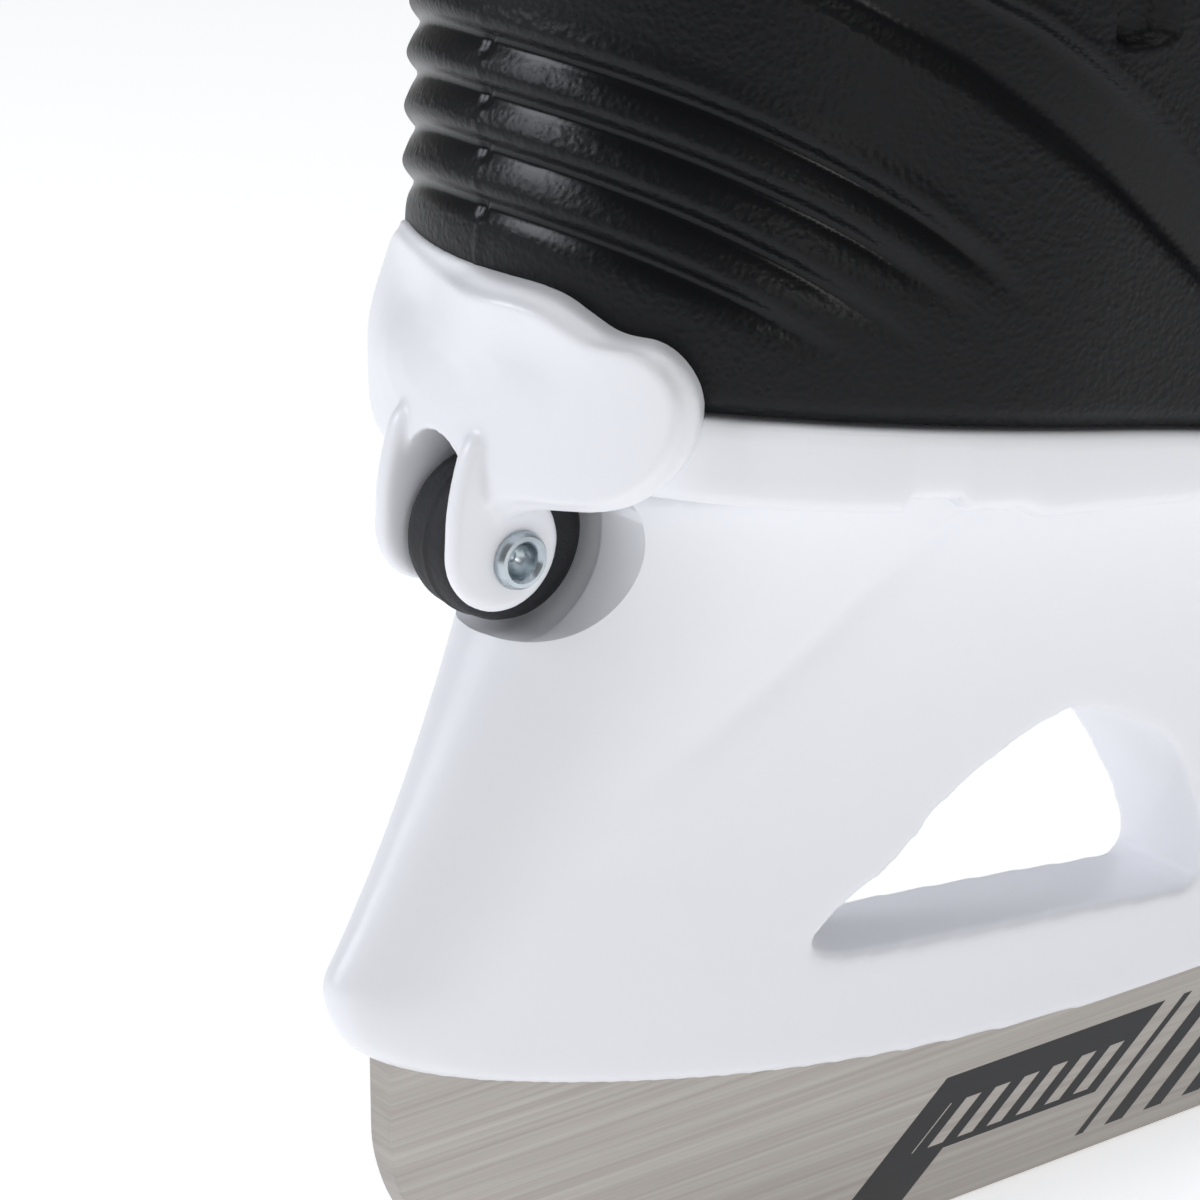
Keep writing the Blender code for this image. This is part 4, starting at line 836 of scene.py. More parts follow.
def speckled(parts, scale, detail, low, high, rough=None, fine=None, bump=None, **settings):
    """The same noise spreads the roughness over the pair rough. bump is the strength and depth of dents,
    which follow that noise too, unless fine gives the scale and detail of a finer one."""
    made, tree, shader = parts
    place = add(tree, "TexCoord").outputs["Object"]
    cloud = add(tree, "TexNoise", {"Vector": place, "Scale": scale, "Detail": detail, **settings})
    tint = add(tree, "MixRGB", {0: cloud, 1: linear(low), 2: linear(high)})
    wire(shader, Base_Color=tint)
    if rough:
        spread = add(tree, "MapRange", {"Value": cloud, "To Min": rough[0], "To Max": rough[1]})
        wire(shader, Roughness=spread)
    if fine:
        cloud = add(tree, "TexNoise", {"Vector": place, "Scale": fine[0], "Detail": fine[1]})
    if bump:
        dents = add(tree, "Bump", {"Height": cloud, "Strength": bump[0], "Distance": bump[1]})
        wire(shader, Normal=dents)
    return made


TREAD = [(0.0034, 0.0032), (0.0053, 0.0034), (0.0061, 0.0033), (0.0066, 0.0029), (0.0069, 0.0021),
         (0.0070, 0.0010), (0.0070, 0.0003), (0.00712, 0.0001)]
bore = [(0.0032, 0.0), (0.0034, 0.0032)]
roller = turned("roller", TREAD + [(r, -y) for r, y in TREAD[::-1]] + bore, POCKET_X, POCKET_Z)
# Moulded rubber is near black and dull, with a rough tread and a little pale bloom.
rubber = speckled(finish("rubber_black_moulded", "#141417", 0.72, IOR=1.52), 260.0, 4.0,
                  "#0E0E11", "#26262B", fine=(1500.0, 4.0), bump=(0.6, 0.00025))
settle(roller, rubber, "roller", "black_rubber", "heel_roller")


# Bright zinc plate is a cold grey metal with a faint blue cast, cloudy and lightly scuffed.
zinc = speckled(finish("zinc_plated_steel", "#B9C2C8", 0.26, 1.0), 420.0, 5.0, "#8E9BA4", "#DCE3E6",
                rough=(0.16, 0.40), bump=(0.12, 0.00005), Roughness=0.6)
FLANGE = [(0.0, 0.0051), (0.0005, 0.0050), (0.0010, 0.0053), (0.00130, 0.0057), (0.00135, 0.0063),
          (0.00150, 0.00675), (0.00180, 0.0070), (0.00215, 0.00695), (0.00240, 0.0066), (0.00250, 0.0062),
          (0.00245, 0.00605), (0.00160, 0.0060)]
rivet = turned("tubular_rivet", FLANGE + [(r, -y) for r, y in FLANGE[::-1]], RIVET_X, RIVET_Z)
settle(rivet, zinc, "skate", "zinc_plate", "roller_rivet")


# ---- Cuff ---------------------------------------------------------------------------------------
# The hinged upper half of the shell, moulded in the same grained plastic. It overlaps the lower
# shell, swings on two pivot rivets beside the ankle, and is ribbed across the tendon.

CUFF_WALL, CUFF_STAND_OFF, CUFF_OPEN = 0.0027, 0.0013, 0.405


def cuff_low(f):
    """Lower edge by share of a turn from the heel: low at the back and sides, high in front."""
    return 0.142 + 0.052 * smooth((np.abs(f) - 0.20) / 0.20)


def cuff_high(f):
    """Upper edge: it falls towards the shin, with a low crest over the tendon."""
    return 0.2860 - 0.016 * smooth(np.abs(f) / CUFF_OPEN) + 0.006 * np.exp(-(f / 0.09) ** 2)


TURN_S = np.linspace(0.0, 1.0, 2001)
TURN_F = shaft_turn(TURN_S)


def share_at(f):
    """Share of the sole edge whose line climbs to share f of a turn round the shaft."""
    return np.interp(f, TURN_F, TURN_S)


def level_v(s, height):
    """The v at which line s reaches the given height, read between samples."""
    v = np.linspace(0.3, 2.6, 461)
    z = last_point(s[:, None], v[None, :])[..., 2] - np.asarray(height)[:, None]
    i = np.argmax(z > 0.0, axis=1)
    rows = np.arange(len(s))
    return v[i - 1] + (v[i] - v[i - 1]) * (-z[rows, i - 1] / (z[rows, i] - z[rows, i - 1]))


def cuff_relief(f, z):
    """Ribs over the tendon, a raised side panel with a soft step, and a groove along the lower edge."""
    band = smooth((z - 0.168) / 0.010) * (1.0 - smooth((z - 0.262) / 0.012))
    ribs = 0.5 - 0.5 * np.cos((z - 0.0009 * (f * 60.0) ** 2) / 0.0062 * 2.0 * math.pi)
    tendon = np.exp(-(f / 0.115) ** 4)
    step = smooth((np.abs(f) - 0.150) / 0.012) * (1.0 - smooth((np.abs(f) - 0.330) / 0.012))
    panel = step * smooth((z - 0.176) / 0.006) * (1.0 - smooth((z - 0.262) / 0.006))
    slots = panel * (np.abs(np.abs(f) - 0.215) < 0.045)
    vents = np.clip(np.cos((z - 0.1955) / 0.0135 * 2.0 * math.pi) - 0.55, 0.0, 1.0) / 0.45
    low = z - cuff_low(f)
    edge = np.exp(-((low - 0.0060) / 0.0009) ** 2)
    cuts = slots * smooth(vents * 2.0)
    relief = -0.0007 * band * tendon * ribs**2 + 0.0007 * panel - 0.0011 * cuts - 0.0005 * edge
    return relief, np.maximum(band * tendon * ribs, cuts) * 0.7


def cuff_rings():
    """Level rows up the outer face, which rolls in at its edges, and back down the inner face."""
    f = np.linspace(CUFF_OPEN, -CUFF_OPEN, 380)
    s = share_at(-f % 1.0)
    v0, v1 = level_v(s, cuff_low(f)), level_v(s, cuff_high(f))
    t = np.linspace(0.0, 1.0, 170)[:, None]
    v = v0 + t * (v1 - v0)
    relief, polish = cuff_relief(f, last_point(s, v)[..., 2])
    side = np.clip((CUFF_OPEN - np.abs(f)) / 0.008, 0.0, 1.0)
    ends = np.clip(np.minimum(t, 1.0 - t) / 0.012, 0.0, 1.0)
    roll = 0.0008 * (1.0 - np.sqrt(np.clip(1.0 - (1.0 - np.minimum(side, ends)) ** 2, 0.0, 1.0)))
    outer = off_last(s, v, CUFF_STAND_OFF + CUFF_WALL + relief - roll)
    inner_v = v0 + np.linspace(1.0, 0.0, 14)[:, None] * (v1 - v0)
    rings = np.concatenate([outer, off_last(s, inner_v, CUFF_STAND_OFF)])
    return in_skate(rings), np.concatenate([polish, np.zeros(inner_v.shape)])


def loop_rows(rings):
    """Turns a grid of rows that go up one face and down the other into a closed tube with capped ends."""
    return capped(np.swapaxes(rings, 0, 1))


rings, gloss = cuff_rings()
cuff = surface("boot_cuff", loop_rows(rings), wrap=True, sharp=60.0, polish=loop_rows(gloss))
settle(cuff, polypropylene, "cuff", "black_plastic", "cuff")


# ---- Pivot rivets, bolts and inserts ------------------------------------------------------------
# Domed zinc plated rivets join cuff and shell. Four machine screws run through the shell's floor and
# the flange into knurled brass inserts in the holder. Screws and inserts are kept as they were drawn.

def keep(name, material):
    """Gives a solid that is kept as it is its material."""
    made = nodes[name]
    made.data.materials.clear()
    made.data.materials.append(material)


# Free-cutting brass is a warm yellow, turned and a little tarnished.
brass = speckled(finish("brass_turned", "#C9A25A", 0.34, 1.0), 500.0, 3.0, "#A27F40", "#DCB970")
for place in ("heel_outer", "heel_inner", "toe_outer", "toe_inner"):
    keep(f"holder_bolt_{place}", zinc)
    keep(f"holder_insert_{place}", brass)


PIVOT_DOME = [(0.0, 0.0005), (0.0012, 0.00048), (0.0016, 0.0001), (0.0034, 0.0), (0.0052, 0.0003),
              (0.0066, 0.0008), (0.0073, 0.0013), (0.0075, 0.0016), (0.0072, 0.0018), (0.0034, 0.0018)]
PIVOT_ROOT = [(0.0034, 0.0007), (0.0042, 0.0006), (0.0042, 0.0), (0.0, 0.0)]


def pivot_rings(side):
    """Dome, shank and root of a pivot rivet, as (radius, depth) turned about the level cross axis."""
    low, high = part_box("cuff_pivot_rivet_" + ("outer" if side < 0 else "inner"))
    middle_x, middle_z = (low.x + high.x) / 2.0, (low.z + high.z) / 2.0
    tip, root = (low.y, high.y) if side < 0 else (high.y, low.y)
    r = np.array([p[0] for p in PIVOT_DOME + PIVOT_ROOT])[:, None]
    y = [tip - side * p[1] for p in PIVOT_DOME] + [root + side * p[1] for p in PIVOT_ROOT]
    y = np.broadcast_to(np.array(y)[:, None], (len(r), 72))
    turn = full_turn(72)
    return np.stack([middle_x + r * np.cos(turn), y, middle_z + r * np.sin(turn)], -1)


for side, name in ((-1, "outer"), (1, "inner")):
    pivot = surface(f"pivot_rivet_{name}", pivot_rings(side), wrap=True)
    settle(pivot, zinc, "skate", "zinc_plate", f"cuff_pivot_rivet_{name}")


# ---- Inner boot ---------------------------------------------------------------------------------
# A removable padded bootie: black knitted lining over foam, quilted round the shaft, with a rolled
# collar.

def fabric_material(name, dark, light, stitch):
    """Polyester cloth: a soft, hairy black weave, its ribs 0.63 of a stitch apart by the wave's scale."""
    made, tree, shader = finish(name, dark, 0.92, IOR=1.45, Sheen_Weight=0.35, Sheen_Roughness=0.5)
    place = add(tree, "TexCoord").outputs["Object"]
    weave = {"Vector": place, "Scale": 0.5 / stitch, "Distortion": 1.5, "Detail": 2.0}
    ribs, twill = (add(tree, "TexWave", weave, bands_direction=way) for way in ("Z", "DIAGONAL"))
    knit = add(tree, "Math", {0: ribs.outputs["Fac"], 1: twill.outputs["Fac"]}, operation="MULTIPLY")
    fuzz = add(tree, "TexNoise", {"Vector": place, "Scale": 900.0, "Detail": 4.0})
    hairy = add(tree, "Math", {0: knit, 1: fuzz}, operation="ADD")
    tint = add(tree, "MixRGB", {0: hairy, 1: linear(dark), 2: linear(light)})
    bump = add(tree, "Bump", {"Height": hairy, "Strength": 0.5, "Distance": 0.0003})
    wire(shader, Base_Color=tint, Normal=bump)
    return made


LINER_STAND_OFF, LINER_WALL, LINER_START = 0.0056, 0.005, 0.085
LINER_UNDER, LINER_INSIDE = 0.0066, 0.0112


def liner_rings():
    """Floor, wall, rolled collar and inner wall of the bootie; quilt lines dent the shaft's outside."""
    s = around_sole(360, 0.6)
    reach = climb_to(s, lambda p: p[..., 2] - 0.306 + 0.10 * (p[..., 0] - 0.064), 2.6, 1041)
    reach = averaged(reach, 6, 1.0 / 3.0)
    edge = off_last(s, LINER_START, -LINER_STAND_OFF)
    floor = [drawn_in(edge, k, k, LINER_UNDER + lift) for k, lift in
             ((0.0, 0.0), (0.35, 0.0), (0.7, 0.0), (0.92, 0.0002), (0.985, 0.0010))]
    low = LINER_START + 0.012
    wall_v = low + np.linspace(0.0, 1.0, 96)[:, None] * (reach - low)
    z = last_point(s, wall_v)[..., 2]
    seam = np.abs((z - 0.2 - 0.030 * np.cos(2.0 * math.pi * shaft_turn(s))) / 0.016 % 1.0 - 0.5)
    dent = 0.0011 * np.exp(-(seam / 0.07) ** 2) * smooth((z - 0.19) / 0.02)
    puff = 0.0022 * np.exp(-((wall_v - reach + 0.055) / 0.045) ** 2)
    outer = off_last(s, wall_v, -LINER_STAND_OFF - dent + puff)
    rim = [off_last(s, reach + r, -LINER_STAND_OFF - d) for r, d in
           ((0.022, 0.0002), (0.034, 0.0014), (0.038, 0.0028), (0.030, 0.0044), (0.014, 0.0054))]
    low = LINER_START + 0.05
    inner_v = low + np.linspace(1.0, 0.0, 40)[:, None] * (reach - low)
    roll = 0.0016 * np.exp(-((inner_v - reach + 0.10) / 0.08) ** 2)
    inner = off_last(s, inner_v, -LINER_STAND_OFF - LINER_WALL - roll)
    pad = off_last(s, LINER_START + 0.03, -LINER_STAND_OFF - LINER_WALL)
    back = [drawn_in(pad, k, k, LINER_INSIDE) for k in (0.96, 0.7, 0.35, 0.0)]
    return in_skate(np.concatenate([np.stack(floor), outer, np.stack(rim), inner, np.stack(back)]))


knit = fabric_material("polyester_knit_black", "#0B0B0D", "#26262A", 0.0012)
liner = surface("bootie", liner_rings(), wrap=True, sharp=70.0)
liner.data.materials.append(knit)
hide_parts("liner")
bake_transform(liner)


# ---- Tongue -------------------------------------------------------------------------------------
# A padded tongue stitched to the bootie at the toe. It lies in the shell's throat, runs up the shin
# and is edged with a bound seam and crossed by sewn channels.

def lines_across(v, reach):
    """The lines s that lie at the given distances to each side of the front middle at height v."""
    s = np.linspace(0.10, 0.90, 801)
    point = last_point(s, np.full(s.shape, v))
    run = run_along(point)
    return np.interp(reach, run - run[400], s)


def tongue_rings():
    """Across the tongue and round it: crowned outside with sewn channels, flat inside, round ends."""
    v_start = climb_to(np.array([0.5]), lambda p: 0.202 - p[..., 0])[0]
    v = v_start + (2.16 - v_start) * np.linspace(0.0, 1.0, 150)
    taper = np.sqrt(np.clip(1.0 - np.clip((v - 2.10) / 0.062, 0.0, 1.0) ** 2, 0.02, 1.0))
    half = (0.0165 + 0.0015 * smooth((v - 1.0) / 1.0)) * (0.55 + 0.45 * taper)
    share = np.sin(np.linspace(-math.pi / 2, math.pi / 2, 41))
    s = np.stack([lines_across(a, share * b) for a, b in zip(v, half)])
    run = run_along(last_point(0.5, v))[:, None]
    channel = np.exp(-((run / 0.019 % 1.0 - 0.5) / 0.055) ** 2) * (1.0 - share**8)
    binding = 0.0005 * np.exp(-((1.0 - np.abs(share)) / 0.05) ** 2)
    crown = np.sqrt(np.clip(1.0 - share**6, 0.0, 1.0))
    top = off_last(s, v[:, None], -0.0003 + 0.0034 * crown - 0.0010 * channel + binding)
    under = off_last(s, v[:, None], -0.0003 - 0.0021 * crown)
    return in_skate(capped(np.concatenate([top, under[:, ::-1][:, 1:-1]], axis=1)))


tongue = surface("tongue_pad", tongue_rings(), wrap=True, sharp=70.0)
tongue.data.materials.append(fabric_material("polyester_mesh_charcoal", "#17171A", "#3A3A40", 0.0016))
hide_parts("tongue")
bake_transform(tongue)


# ---- Footbed and pull loop ----------------------------------------------------------------------
# A felted footbed lies loose in the bootie. A loop of grey webbing is sewn to the back of its collar.

def footbed_rings():
    """Pad on the bootie's floor with a rounded edge, slightly cupped at its rim."""
    s = around_sole(240, 0.6)
    edge = off_last(s, 0.0, -LINER_STAND_OFF - LINER_WALL - 0.0016)
    under = LINER_INSIDE + 0.0017
    rings = [drawn_in(edge, 0.915 * k, 0.93 * k, under + lift) for k, lift in
             ((0.0, 0.0), (0.6, 0.0), (0.97, 0.0), (1.0, 0.0012), (1.0, 0.0024), (0.97, 0.0035),
              (0.9, 0.0033), (0.6, 0.0032), (0.0, 0.0032))]
    return in_skate(np.stack(rings))


footbed = surface("footbed", footbed_rings(), wrap=True, sharp=60.0)
settle(footbed, fabric_material("felt_grey", "#2C2C30", "#4A4A50", 0.0009), "skate", "footbed", "insole")


def webbing_rings():
    """Flat band 6 mm by 1.4 mm, with rounded edges, carried over a half circle with two straight legs."""
    turn = np.linspace(0.0, math.pi, 40)
    leg = np.linspace(0.0, 0.0095, 8)
    y = np.concatenate([np.full(8, -0.0125), -0.0125 * np.cos(turn), np.full(8, 0.0125)])
    z = 0.3128 + np.concatenate([leg, 0.010 + 0.006 * np.sin(turn), leg[::-1]])
    path = np.stack([np.full(len(y), 0.0195), y, z], -1)
    along = np.gradient(path, axis=0)
    along /= np.linalg.norm(along, axis=1, keepdims=True)
    wide = np.tile([1.0, 0.0, 0.0], (len(y), 1))
    thick = np.cross(along, wide)
    a = full_turn(20)
    w = 0.0030 * np.sign(np.cos(a)) * np.abs(np.cos(a)) ** 0.35
    t = 0.0007 * np.sign(np.sin(a)) * np.abs(np.sin(a)) ** 0.6
    return in_skate(capped(path[:, None] + wide[:, None] * w[:, None] + thick[:, None] * t[:, None]))


loop = surface("webbing_loop", webbing_rings(), wrap=True, sharp=60.0)
webbing = fabric_material("polyester_webbing_black", "#131316", "#36363B", 0.0008)
settle(loop, webbing, "cuff", "webbing", "pull_loop")


# ---- Straps -------------------------------------------------------------------------------------
# Three ladder straps of dark grey polyurethane cross the throat. Each is riveted to the inner side
# and runs into the ratchet on the outer side, with moulded teeth on the half that meets the pawl.

STRAP_HALF, STRAP_THICK, CHEEK_SEAT = 0.0115, 0.0022, 0.022


def side_line(x_top, z_top, lean):
    """Signed distance from a line of the side view through (x_top, z_top) that leans back by lean."""
    return lambda p: (p[..., 0] - x_top) * math.cos(lean) - (p[..., 2] - z_top) * math.sin(lean)


def strap_line(line, ends, v_range):
    """The cut of the last by a side-view line, from the inner side over the front to the outer side."""
    s = np.linspace(ends[0], ends[1], 61)
    v = np.linspace(v_range[0], v_range[1], 801)
    value = line(last_point(s[:, None], v[None, :]))
    sign = np.signbit(value)
    i = np.argmax(sign[:, 1:] != sign[:, :-1], axis=1)
    rows = np.arange(61)
    a, b = value[rows, i], value[rows, i + 1]
    return s, v[i] + (v[i + 1] - v[i]) * a / (a - b)


def unit(arrows):
    """Arrows brought to length one."""
    return arrows / np.linalg.norm(arrows, axis=-1, keepdims=True)


def square_to(arrows, along):
    """What is left of arrows across the direction along, at length one."""
    return unit(arrows - along * np.sum(arrows * along, axis=-1, keepdims=True))


def strap_path(line, ends, v_range, wall):
    """Underside of the strap and its normals, wrapped, then straight into the base, and the base's seat."""
    s, v = strap_line(line, ends, v_range)
    point = off_last(s, v, 0.0)
    normal = unit(off_last(s, v, 0.001) - point)
    run = run_along(point)
    rows = np.linspace(0.0, run[-1], 19)
    centre = np.stack([np.interp(rows, run, point[:, k]) for k in range(3)], -1)
    normal = np.stack([np.interp(rows, run, normal[:, k]) for k in range(3)], -1)
    share = rows / rows[-1]
    lift = wall + 0.0007 + max(0.0052 - wall, 0.0) * smooth(share / 0.25)
    lift = lift + (wall + 0.0044 - lift) * smooth((share - 0.60) / 0.16)
    along = unit(np.gradient(centre, axis=0))
    normal = square_to(normal, along)
    centre = centre + normal * lift[:, None]
    k = int(np.argmin(np.abs(rows - (rows[-1] - CHEEK_SEAT))))
    bent = rows < rows[k] - 0.0215
    straight = centre[k] + np.array([-0.0175, 0.0, 0.013, 0.026, 0.032])[:, None] * along[k]
    normal = np.concatenate([normal[bent], np.tile(normal[k], (5, 1))])
    return np.concatenate([centre[bent], straight]), normal, (centre[k], -along[k], normal[-1])


def curved(points, count):
    """Open Catmull-Rom curve through the points, read at even distances."""
    p = np.concatenate([2.0 * points[:1] - points[1:2], points, 2.0 * points[-1:] - points[-2:-1]])
    t = np.linspace(0.0, len(points) - 1.0, 1200)
    i = np.minimum(t.astype(int), len(points) - 2)
    f = (t - i)[:, None]
    curve = between(*(p[i + k] for k in range(4)), f)
    run = run_along(curve)
    at = np.linspace(0.0, run[-1], count)
    return np.stack([np.interp(at, run, curve[:, k]) for k in range(3)], -1), at


def strap_rings(centre, normal):
    """Rounded flat section carried along the path, with teeth across its top and round ends."""
    spine, run = curved(centre, 420)
    facing, _ = curved(normal, 420)
    along = unit(np.gradient(spine, axis=0))
    facing = square_to(facing, along)
    across = np.cross(facing, along)
    top = np.linspace(-1.0, 1.0, 31)
    u = np.concatenate([top, [1.0, 1.0, 0.97], np.linspace(0.94, -0.94, 8), [-0.97, -1.0, -1.0]])
    h = np.concatenate([1.0 - 0.16 * np.abs(top) ** 14, [0.7, 0.3, 0.08], np.zeros(8), [0.08, 0.3, 0.7]])
    ends = np.minimum(run, run[-1] - run) / 0.006
    narrow = np.sqrt(np.clip(1.0 - (1.0 - np.clip(ends, 0.0, 1.0)) ** 2, 0.02, 1.0))[:, None]
    saw = run / 0.0027 % 1.0
    bite = np.clip(saw * 1.4, 0.0, 1.0) - np.clip((saw - 0.72) * 8.0, 0.0, 1.0)
    ladder = smooth((run / run[-1] - 0.45) / 0.03) * smooth((1.0 - run / run[-1]) / 0.05)
    inside = smooth((0.66 - np.abs(u)) / 0.05) * (h > 0.8)
    groove = np.exp(-((np.abs(u) - 0.80) / 0.035) ** 2) * (h > 0.8)
    height = STRAP_THICK * h + 0.00075 * (bite * ladder)[:, None] * inside - 0.00025 * groove
    wide = STRAP_HALF * narrow * u
    rings = spine[:, None] + across[:, None] * wide[..., None] + facing[:, None] * height[..., None]
    return in_skate(capped(rings))


def domed(name, place, axis, profile):
    """Profile of (radius, height) turned about the axis through place."""
    side_a = unit(np.cross(axis, [0.0, 1.0, 0.2]))
    side_b = np.cross(axis, side_a)
    turn = full_turn(56)[:, None]
    spoke = np.cos(turn) * side_a + np.sin(turn) * side_b
    p = np.asarray(profile)
    points = place + p[:, :1, None] * spoke[None] + p[:, 1][:, None, None] * axis
    return surface(name, in_skate(points), wrap=True, sharp=30.0)


STRAPS = {
    "cuff_buckle": (side_line(0.120, 0.243, 1.50), (0.80, 0.14), (1.1, 1.95), 0.0040, "cuff"),
    "instep_buckle": (side_line(0.139, 0.152, 0.55), (0.775, 0.20), (0.2, 1.15), 0.0, "skate"),
    "toe_buckle": (side_line(0.186, 0.130, 0.10), (0.69, 0.30), (0.1, 0.95), 0.0, "skate"),
}
DOME = [(0.0, 0.0016), (0.0012, 0.00155), (0.0024, 0.0013), (0.0034, 0.0009), (0.0041, 0.0004),
        (0.0042, 0.0001), (0.0041, 0.0), (0.0022, 0.0), (0.0022, -0.0045), (0.0, -0.0045)]
# Dark grey polyurethane is satin and finely grained, a little paler where it has been flexed.
polyurethane = speckled(finish("polyurethane_grey_satin", "#3A3B40", 0.40, IOR=1.50), 70.0, 4.0,
                        "#303136", "#46474D", rough=(0.34, 0.52), fine=(1500.0, 3.0), bump=(0.35, 0.0001))
seats = {}
for name, (line, ends, v_range, wall, body) in STRAPS.items():
    centre, normal, seats[name] = strap_path(line, ends, v_range, wall)
    strap = surface(f"{name}_ladder_strap", strap_rings(centre, normal), wrap=True, sharp=24.0)
    settle(strap, polyurethane, body, "strap_plastic", f"{name}_strap")
    rivet = domed(f"{name}_strap_rivet_dome", centre[1] + normal[1] * STRAP_THICK, normal[1], DOME)
    settle(rivet, zinc, body, "zinc_plate", f"{name}_strap_rivet")


# ---- Ratchet buckles ----------------------------------------------------------------------------
# Each base is a folded steel channel, riveted to its wall, with a lever and a sprung release pawl on
# pins between its cheeks. The pieces are stamped and zinc plated, apart from the cast alloy levers.

LEVER_HUB = np.array([0.0090, 0.0062])


def stamped_material():
    """Zinc plated pressing: cloudy blue grey with rolling marks, and duller than the bright zinc."""
    made, tree, shader = finish("steel_stamped_zinc", "#A9B0B5", 0.34, 1.0)
    place = add(tree, "TexCoord").outputs["Object"]
    drawn = add(tree, "Mapping", {"Vector": place, "Scale": (60.0, 60.0, 900.0)})
    streak = add(tree, "TexNoise", {"Vector": drawn, "Scale": 1.0, "Detail": 4.0})
    cloud = add(tree, "TexNoise", {"Vector": place, "Scale": 260.0, "Detail": 4.0})
    tint = add(tree, "MixRGB", {0: cloud, 1: linear("#8A9299"), 2: linear("#C6CCD0")})
    rough = add(tree, "MapRange", {"Value": streak, "To Min": 0.24, "To Max": 0.46})
    bump = add(tree, "Bump", {"Height": streak, "Strength": 0.15, "Distance": 0.00005})
    wire(shader, Base_Color=tint, Roughness=rough, Normal=bump)
    return made


def lever_rings(place, ahead, out):
    """Outline of hub and handle carried across the lever, drawn in at both edges, with a ribbed tip."""
    turn = np.radians(np.linspace(-160.0, 70.0, 9))
    hub = 0.0031 * np.stack([np.cos(turn), np.sin(turn)], -1)
    handle = np.array([
        (-0.0035, 0.0060), (-0.0110, 0.0071), (-0.0200, 0.0078), (-0.0280, 0.0075), (-0.0340, 0.0066),
        (-0.0385, 0.0054), (-0.0418, 0.0038), (-0.0414, 0.0024), (-0.0380, 0.0036), (-0.0335, 0.0046),
        (-0.0200, 0.0058), (-0.0070, 0.0044)])
    side = flow(np.concatenate([hub, handle]), 420, 0.0003)
    slope = np.roll(side, -1, axis=0) - np.roll(side, 1, axis=0)
    inward = unit(np.stack([-slope[:, 1], slope[:, 0]], -1))
    grip = smooth((-side[:, 0] - 0.0285) / 0.001) * smooth((0.0400 + side[:, 0]) / 0.001)
    grip = grip * (inward[:, 1] < 0.0)
    knurl = 0.00022 * grip * (1.0 + np.cos(side[:, 0] / 0.0016 * 2.0 * math.pi))
    side = side + inward * knurl[:, None]
    tip = np.clip((-side[:, 0] - 0.0345) / 0.0073, 0.0, 1.0)
    narrow = 0.0010 * smooth((-side[:, 0] - 0.008) / 0.020) + 0.0042 * (1.0 - np.sqrt(1.0 - tip**2))
    across = np.cross(out, ahead)
    rings = []
    for share, inset in ((-1.0, 0.0007), (-0.985, 0.0003), (-0.95, 0.0), (-0.5, 0.0), (0.0, 0.0),
                         (0.5, 0.0), (0.95, 0.0), (0.985, 0.0003), (1.0, 0.0007)):
        flat = side + inward * inset + LEVER_HUB
        wide = ((0.0124 - narrow) * share)[:, None]
        rings.append(place + flat[:, :1] * ahead + wide * across + flat[:, 1:] * out)
    return in_skate(capped(np.stack(rings)))


stamped = stamped_material()
# Powder coated zinc casting has a satin dark grey skin with a fine orange peel and worn high spots.
cast = speckled(finish("alloy_powder_coated", "#55575C", 0.38, 0.35), 140.0, 6.0, "#494B50", "#6A6C72",
                fine=(900.0, 2.0), bump=(0.25, 0.00008))
for name in STRAPS:
    lever = surface(f"{name}_cast_lever", lever_rings(*seats[name]), wrap=True, sharp=50.0)
    settle(lever, cast, f"{name}_lever", "zinc_plate", f"{name}_lever")
    for piece in ("base", "pawl"):
        keep(f"{name}_{piece}", stamped)
    for piece in ("base_rivet", "lever_pin", "pawl_pin"):
        keep(f"{name}_{piece}", zinc)


# ---- Floor, light and camera --------------------------------------------------------------------
# A plain white floor under soft studio light: a lamp behind the heel on the inner side, a broad one
# overhead, a weak one on the outer side, and a white surround.

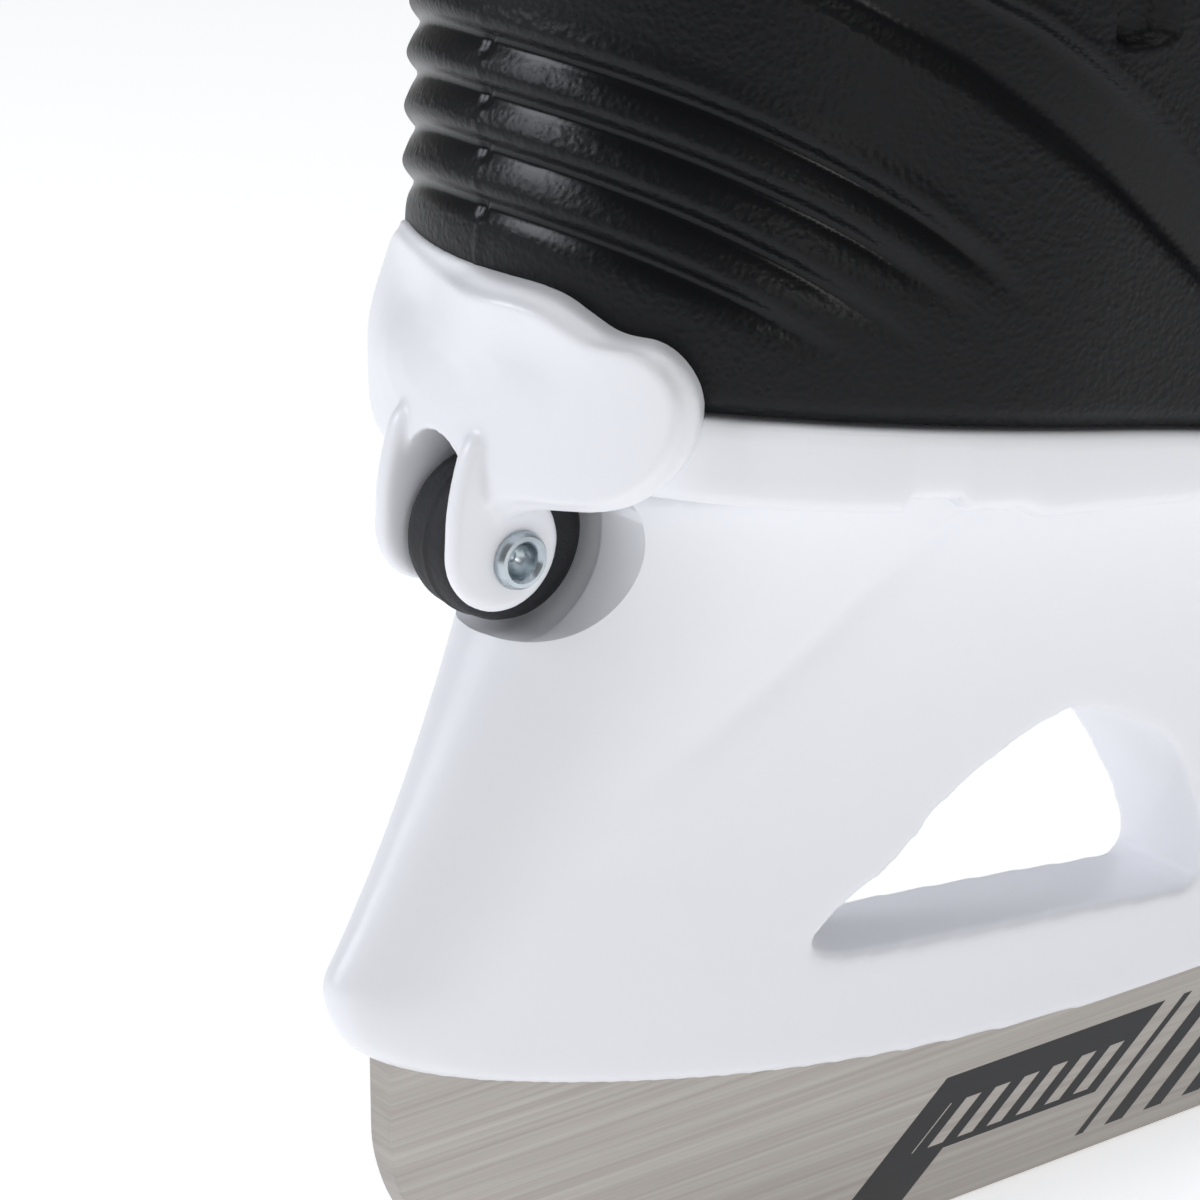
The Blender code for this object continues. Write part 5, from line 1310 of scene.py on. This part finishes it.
def lamp(name, place, aim, size, power, colour="#FFFFFF"):
    """Square area lamp at place, turned to aim."""
    light = bpy.data.lights.new(name, "AREA")
    light.size = size
    light.energy = power
    light.color = linear(colour)[:3]
    made = bpy.data.objects.new(name, light)
    made.location = place
    made.rotation_mode = "QUATERNION"
    made.rotation_quaternion = (Vector(aim) - Vector(place)).to_track_quat("-Z", "Y")
    bpy.context.scene.collection.objects.link(made)


def floor_points():
    """Level square 6 m wide, a grid of two by two points."""
    x, y = np.meshgrid([-3.0, 3.0], [-3.0, 3.0], indexing="ij")
    return np.stack([x, y, np.full(x.shape, -0.0002)], -1)


paint, _, _ = finish("studio_floor_white", "#F8F9FB", 0.75, Emission_Strength=0.48,
                     Emission_Color=linear("#FFFFFF"))
floor = surface("floor", floor_points())
floor.data.materials.append(paint)

lamp("key", (-0.95, 0.45, 0.62), (-0.10, 0.0, 0.10), 0.42, 4.8, "#F4F7FF")
lamp("top", (0.10, -0.25, 1.20), (0.0, 0.0, 0.10), 0.8, 4.8)
lamp("side", (-0.55, -1.20, 0.45), (0.0, 0.0, 0.12), 0.35, 1.7)

surround = bpy.data.worlds.new("surround")
surround.use_nodes = True
sky = surround.node_tree
seen = add(sky, "LightPath").outputs["Is Camera Ray"]
glow = add(sky, "MapRange", {"Value": seen, "To Min": 0.21, "To Max": 1.0})
sky.nodes["Background"].inputs["Color"].default_value = linear("#FFFFFF")
sky.links.new(glow.outputs[0], sky.nodes["Background"].inputs["Strength"])
bpy.context.scene.world = surround
bpy.context.scene.view_settings.view_transform = "Standard"

camera = bpy.data.objects.new("camera", bpy.data.cameras.new("camera"))
camera.data.lens = 128.7
camera.data.sensor_width = 36.0
camera.data.clip_start = 0.01
camera.location = (-0.3293, -0.2708, 0.1924)
turn, drop = math.radians(37.0), math.radians(20.0)
looks = Vector((math.sin(turn) * math.cos(drop), math.cos(turn) * math.cos(drop), -math.sin(drop)))
camera.rotation_mode = "QUATERNION"
camera.rotation_quaternion = looks.to_track_quat("-Z", "Y")
bpy.context.scene.collection.objects.link(camera)
bpy.context.scene.camera = camera
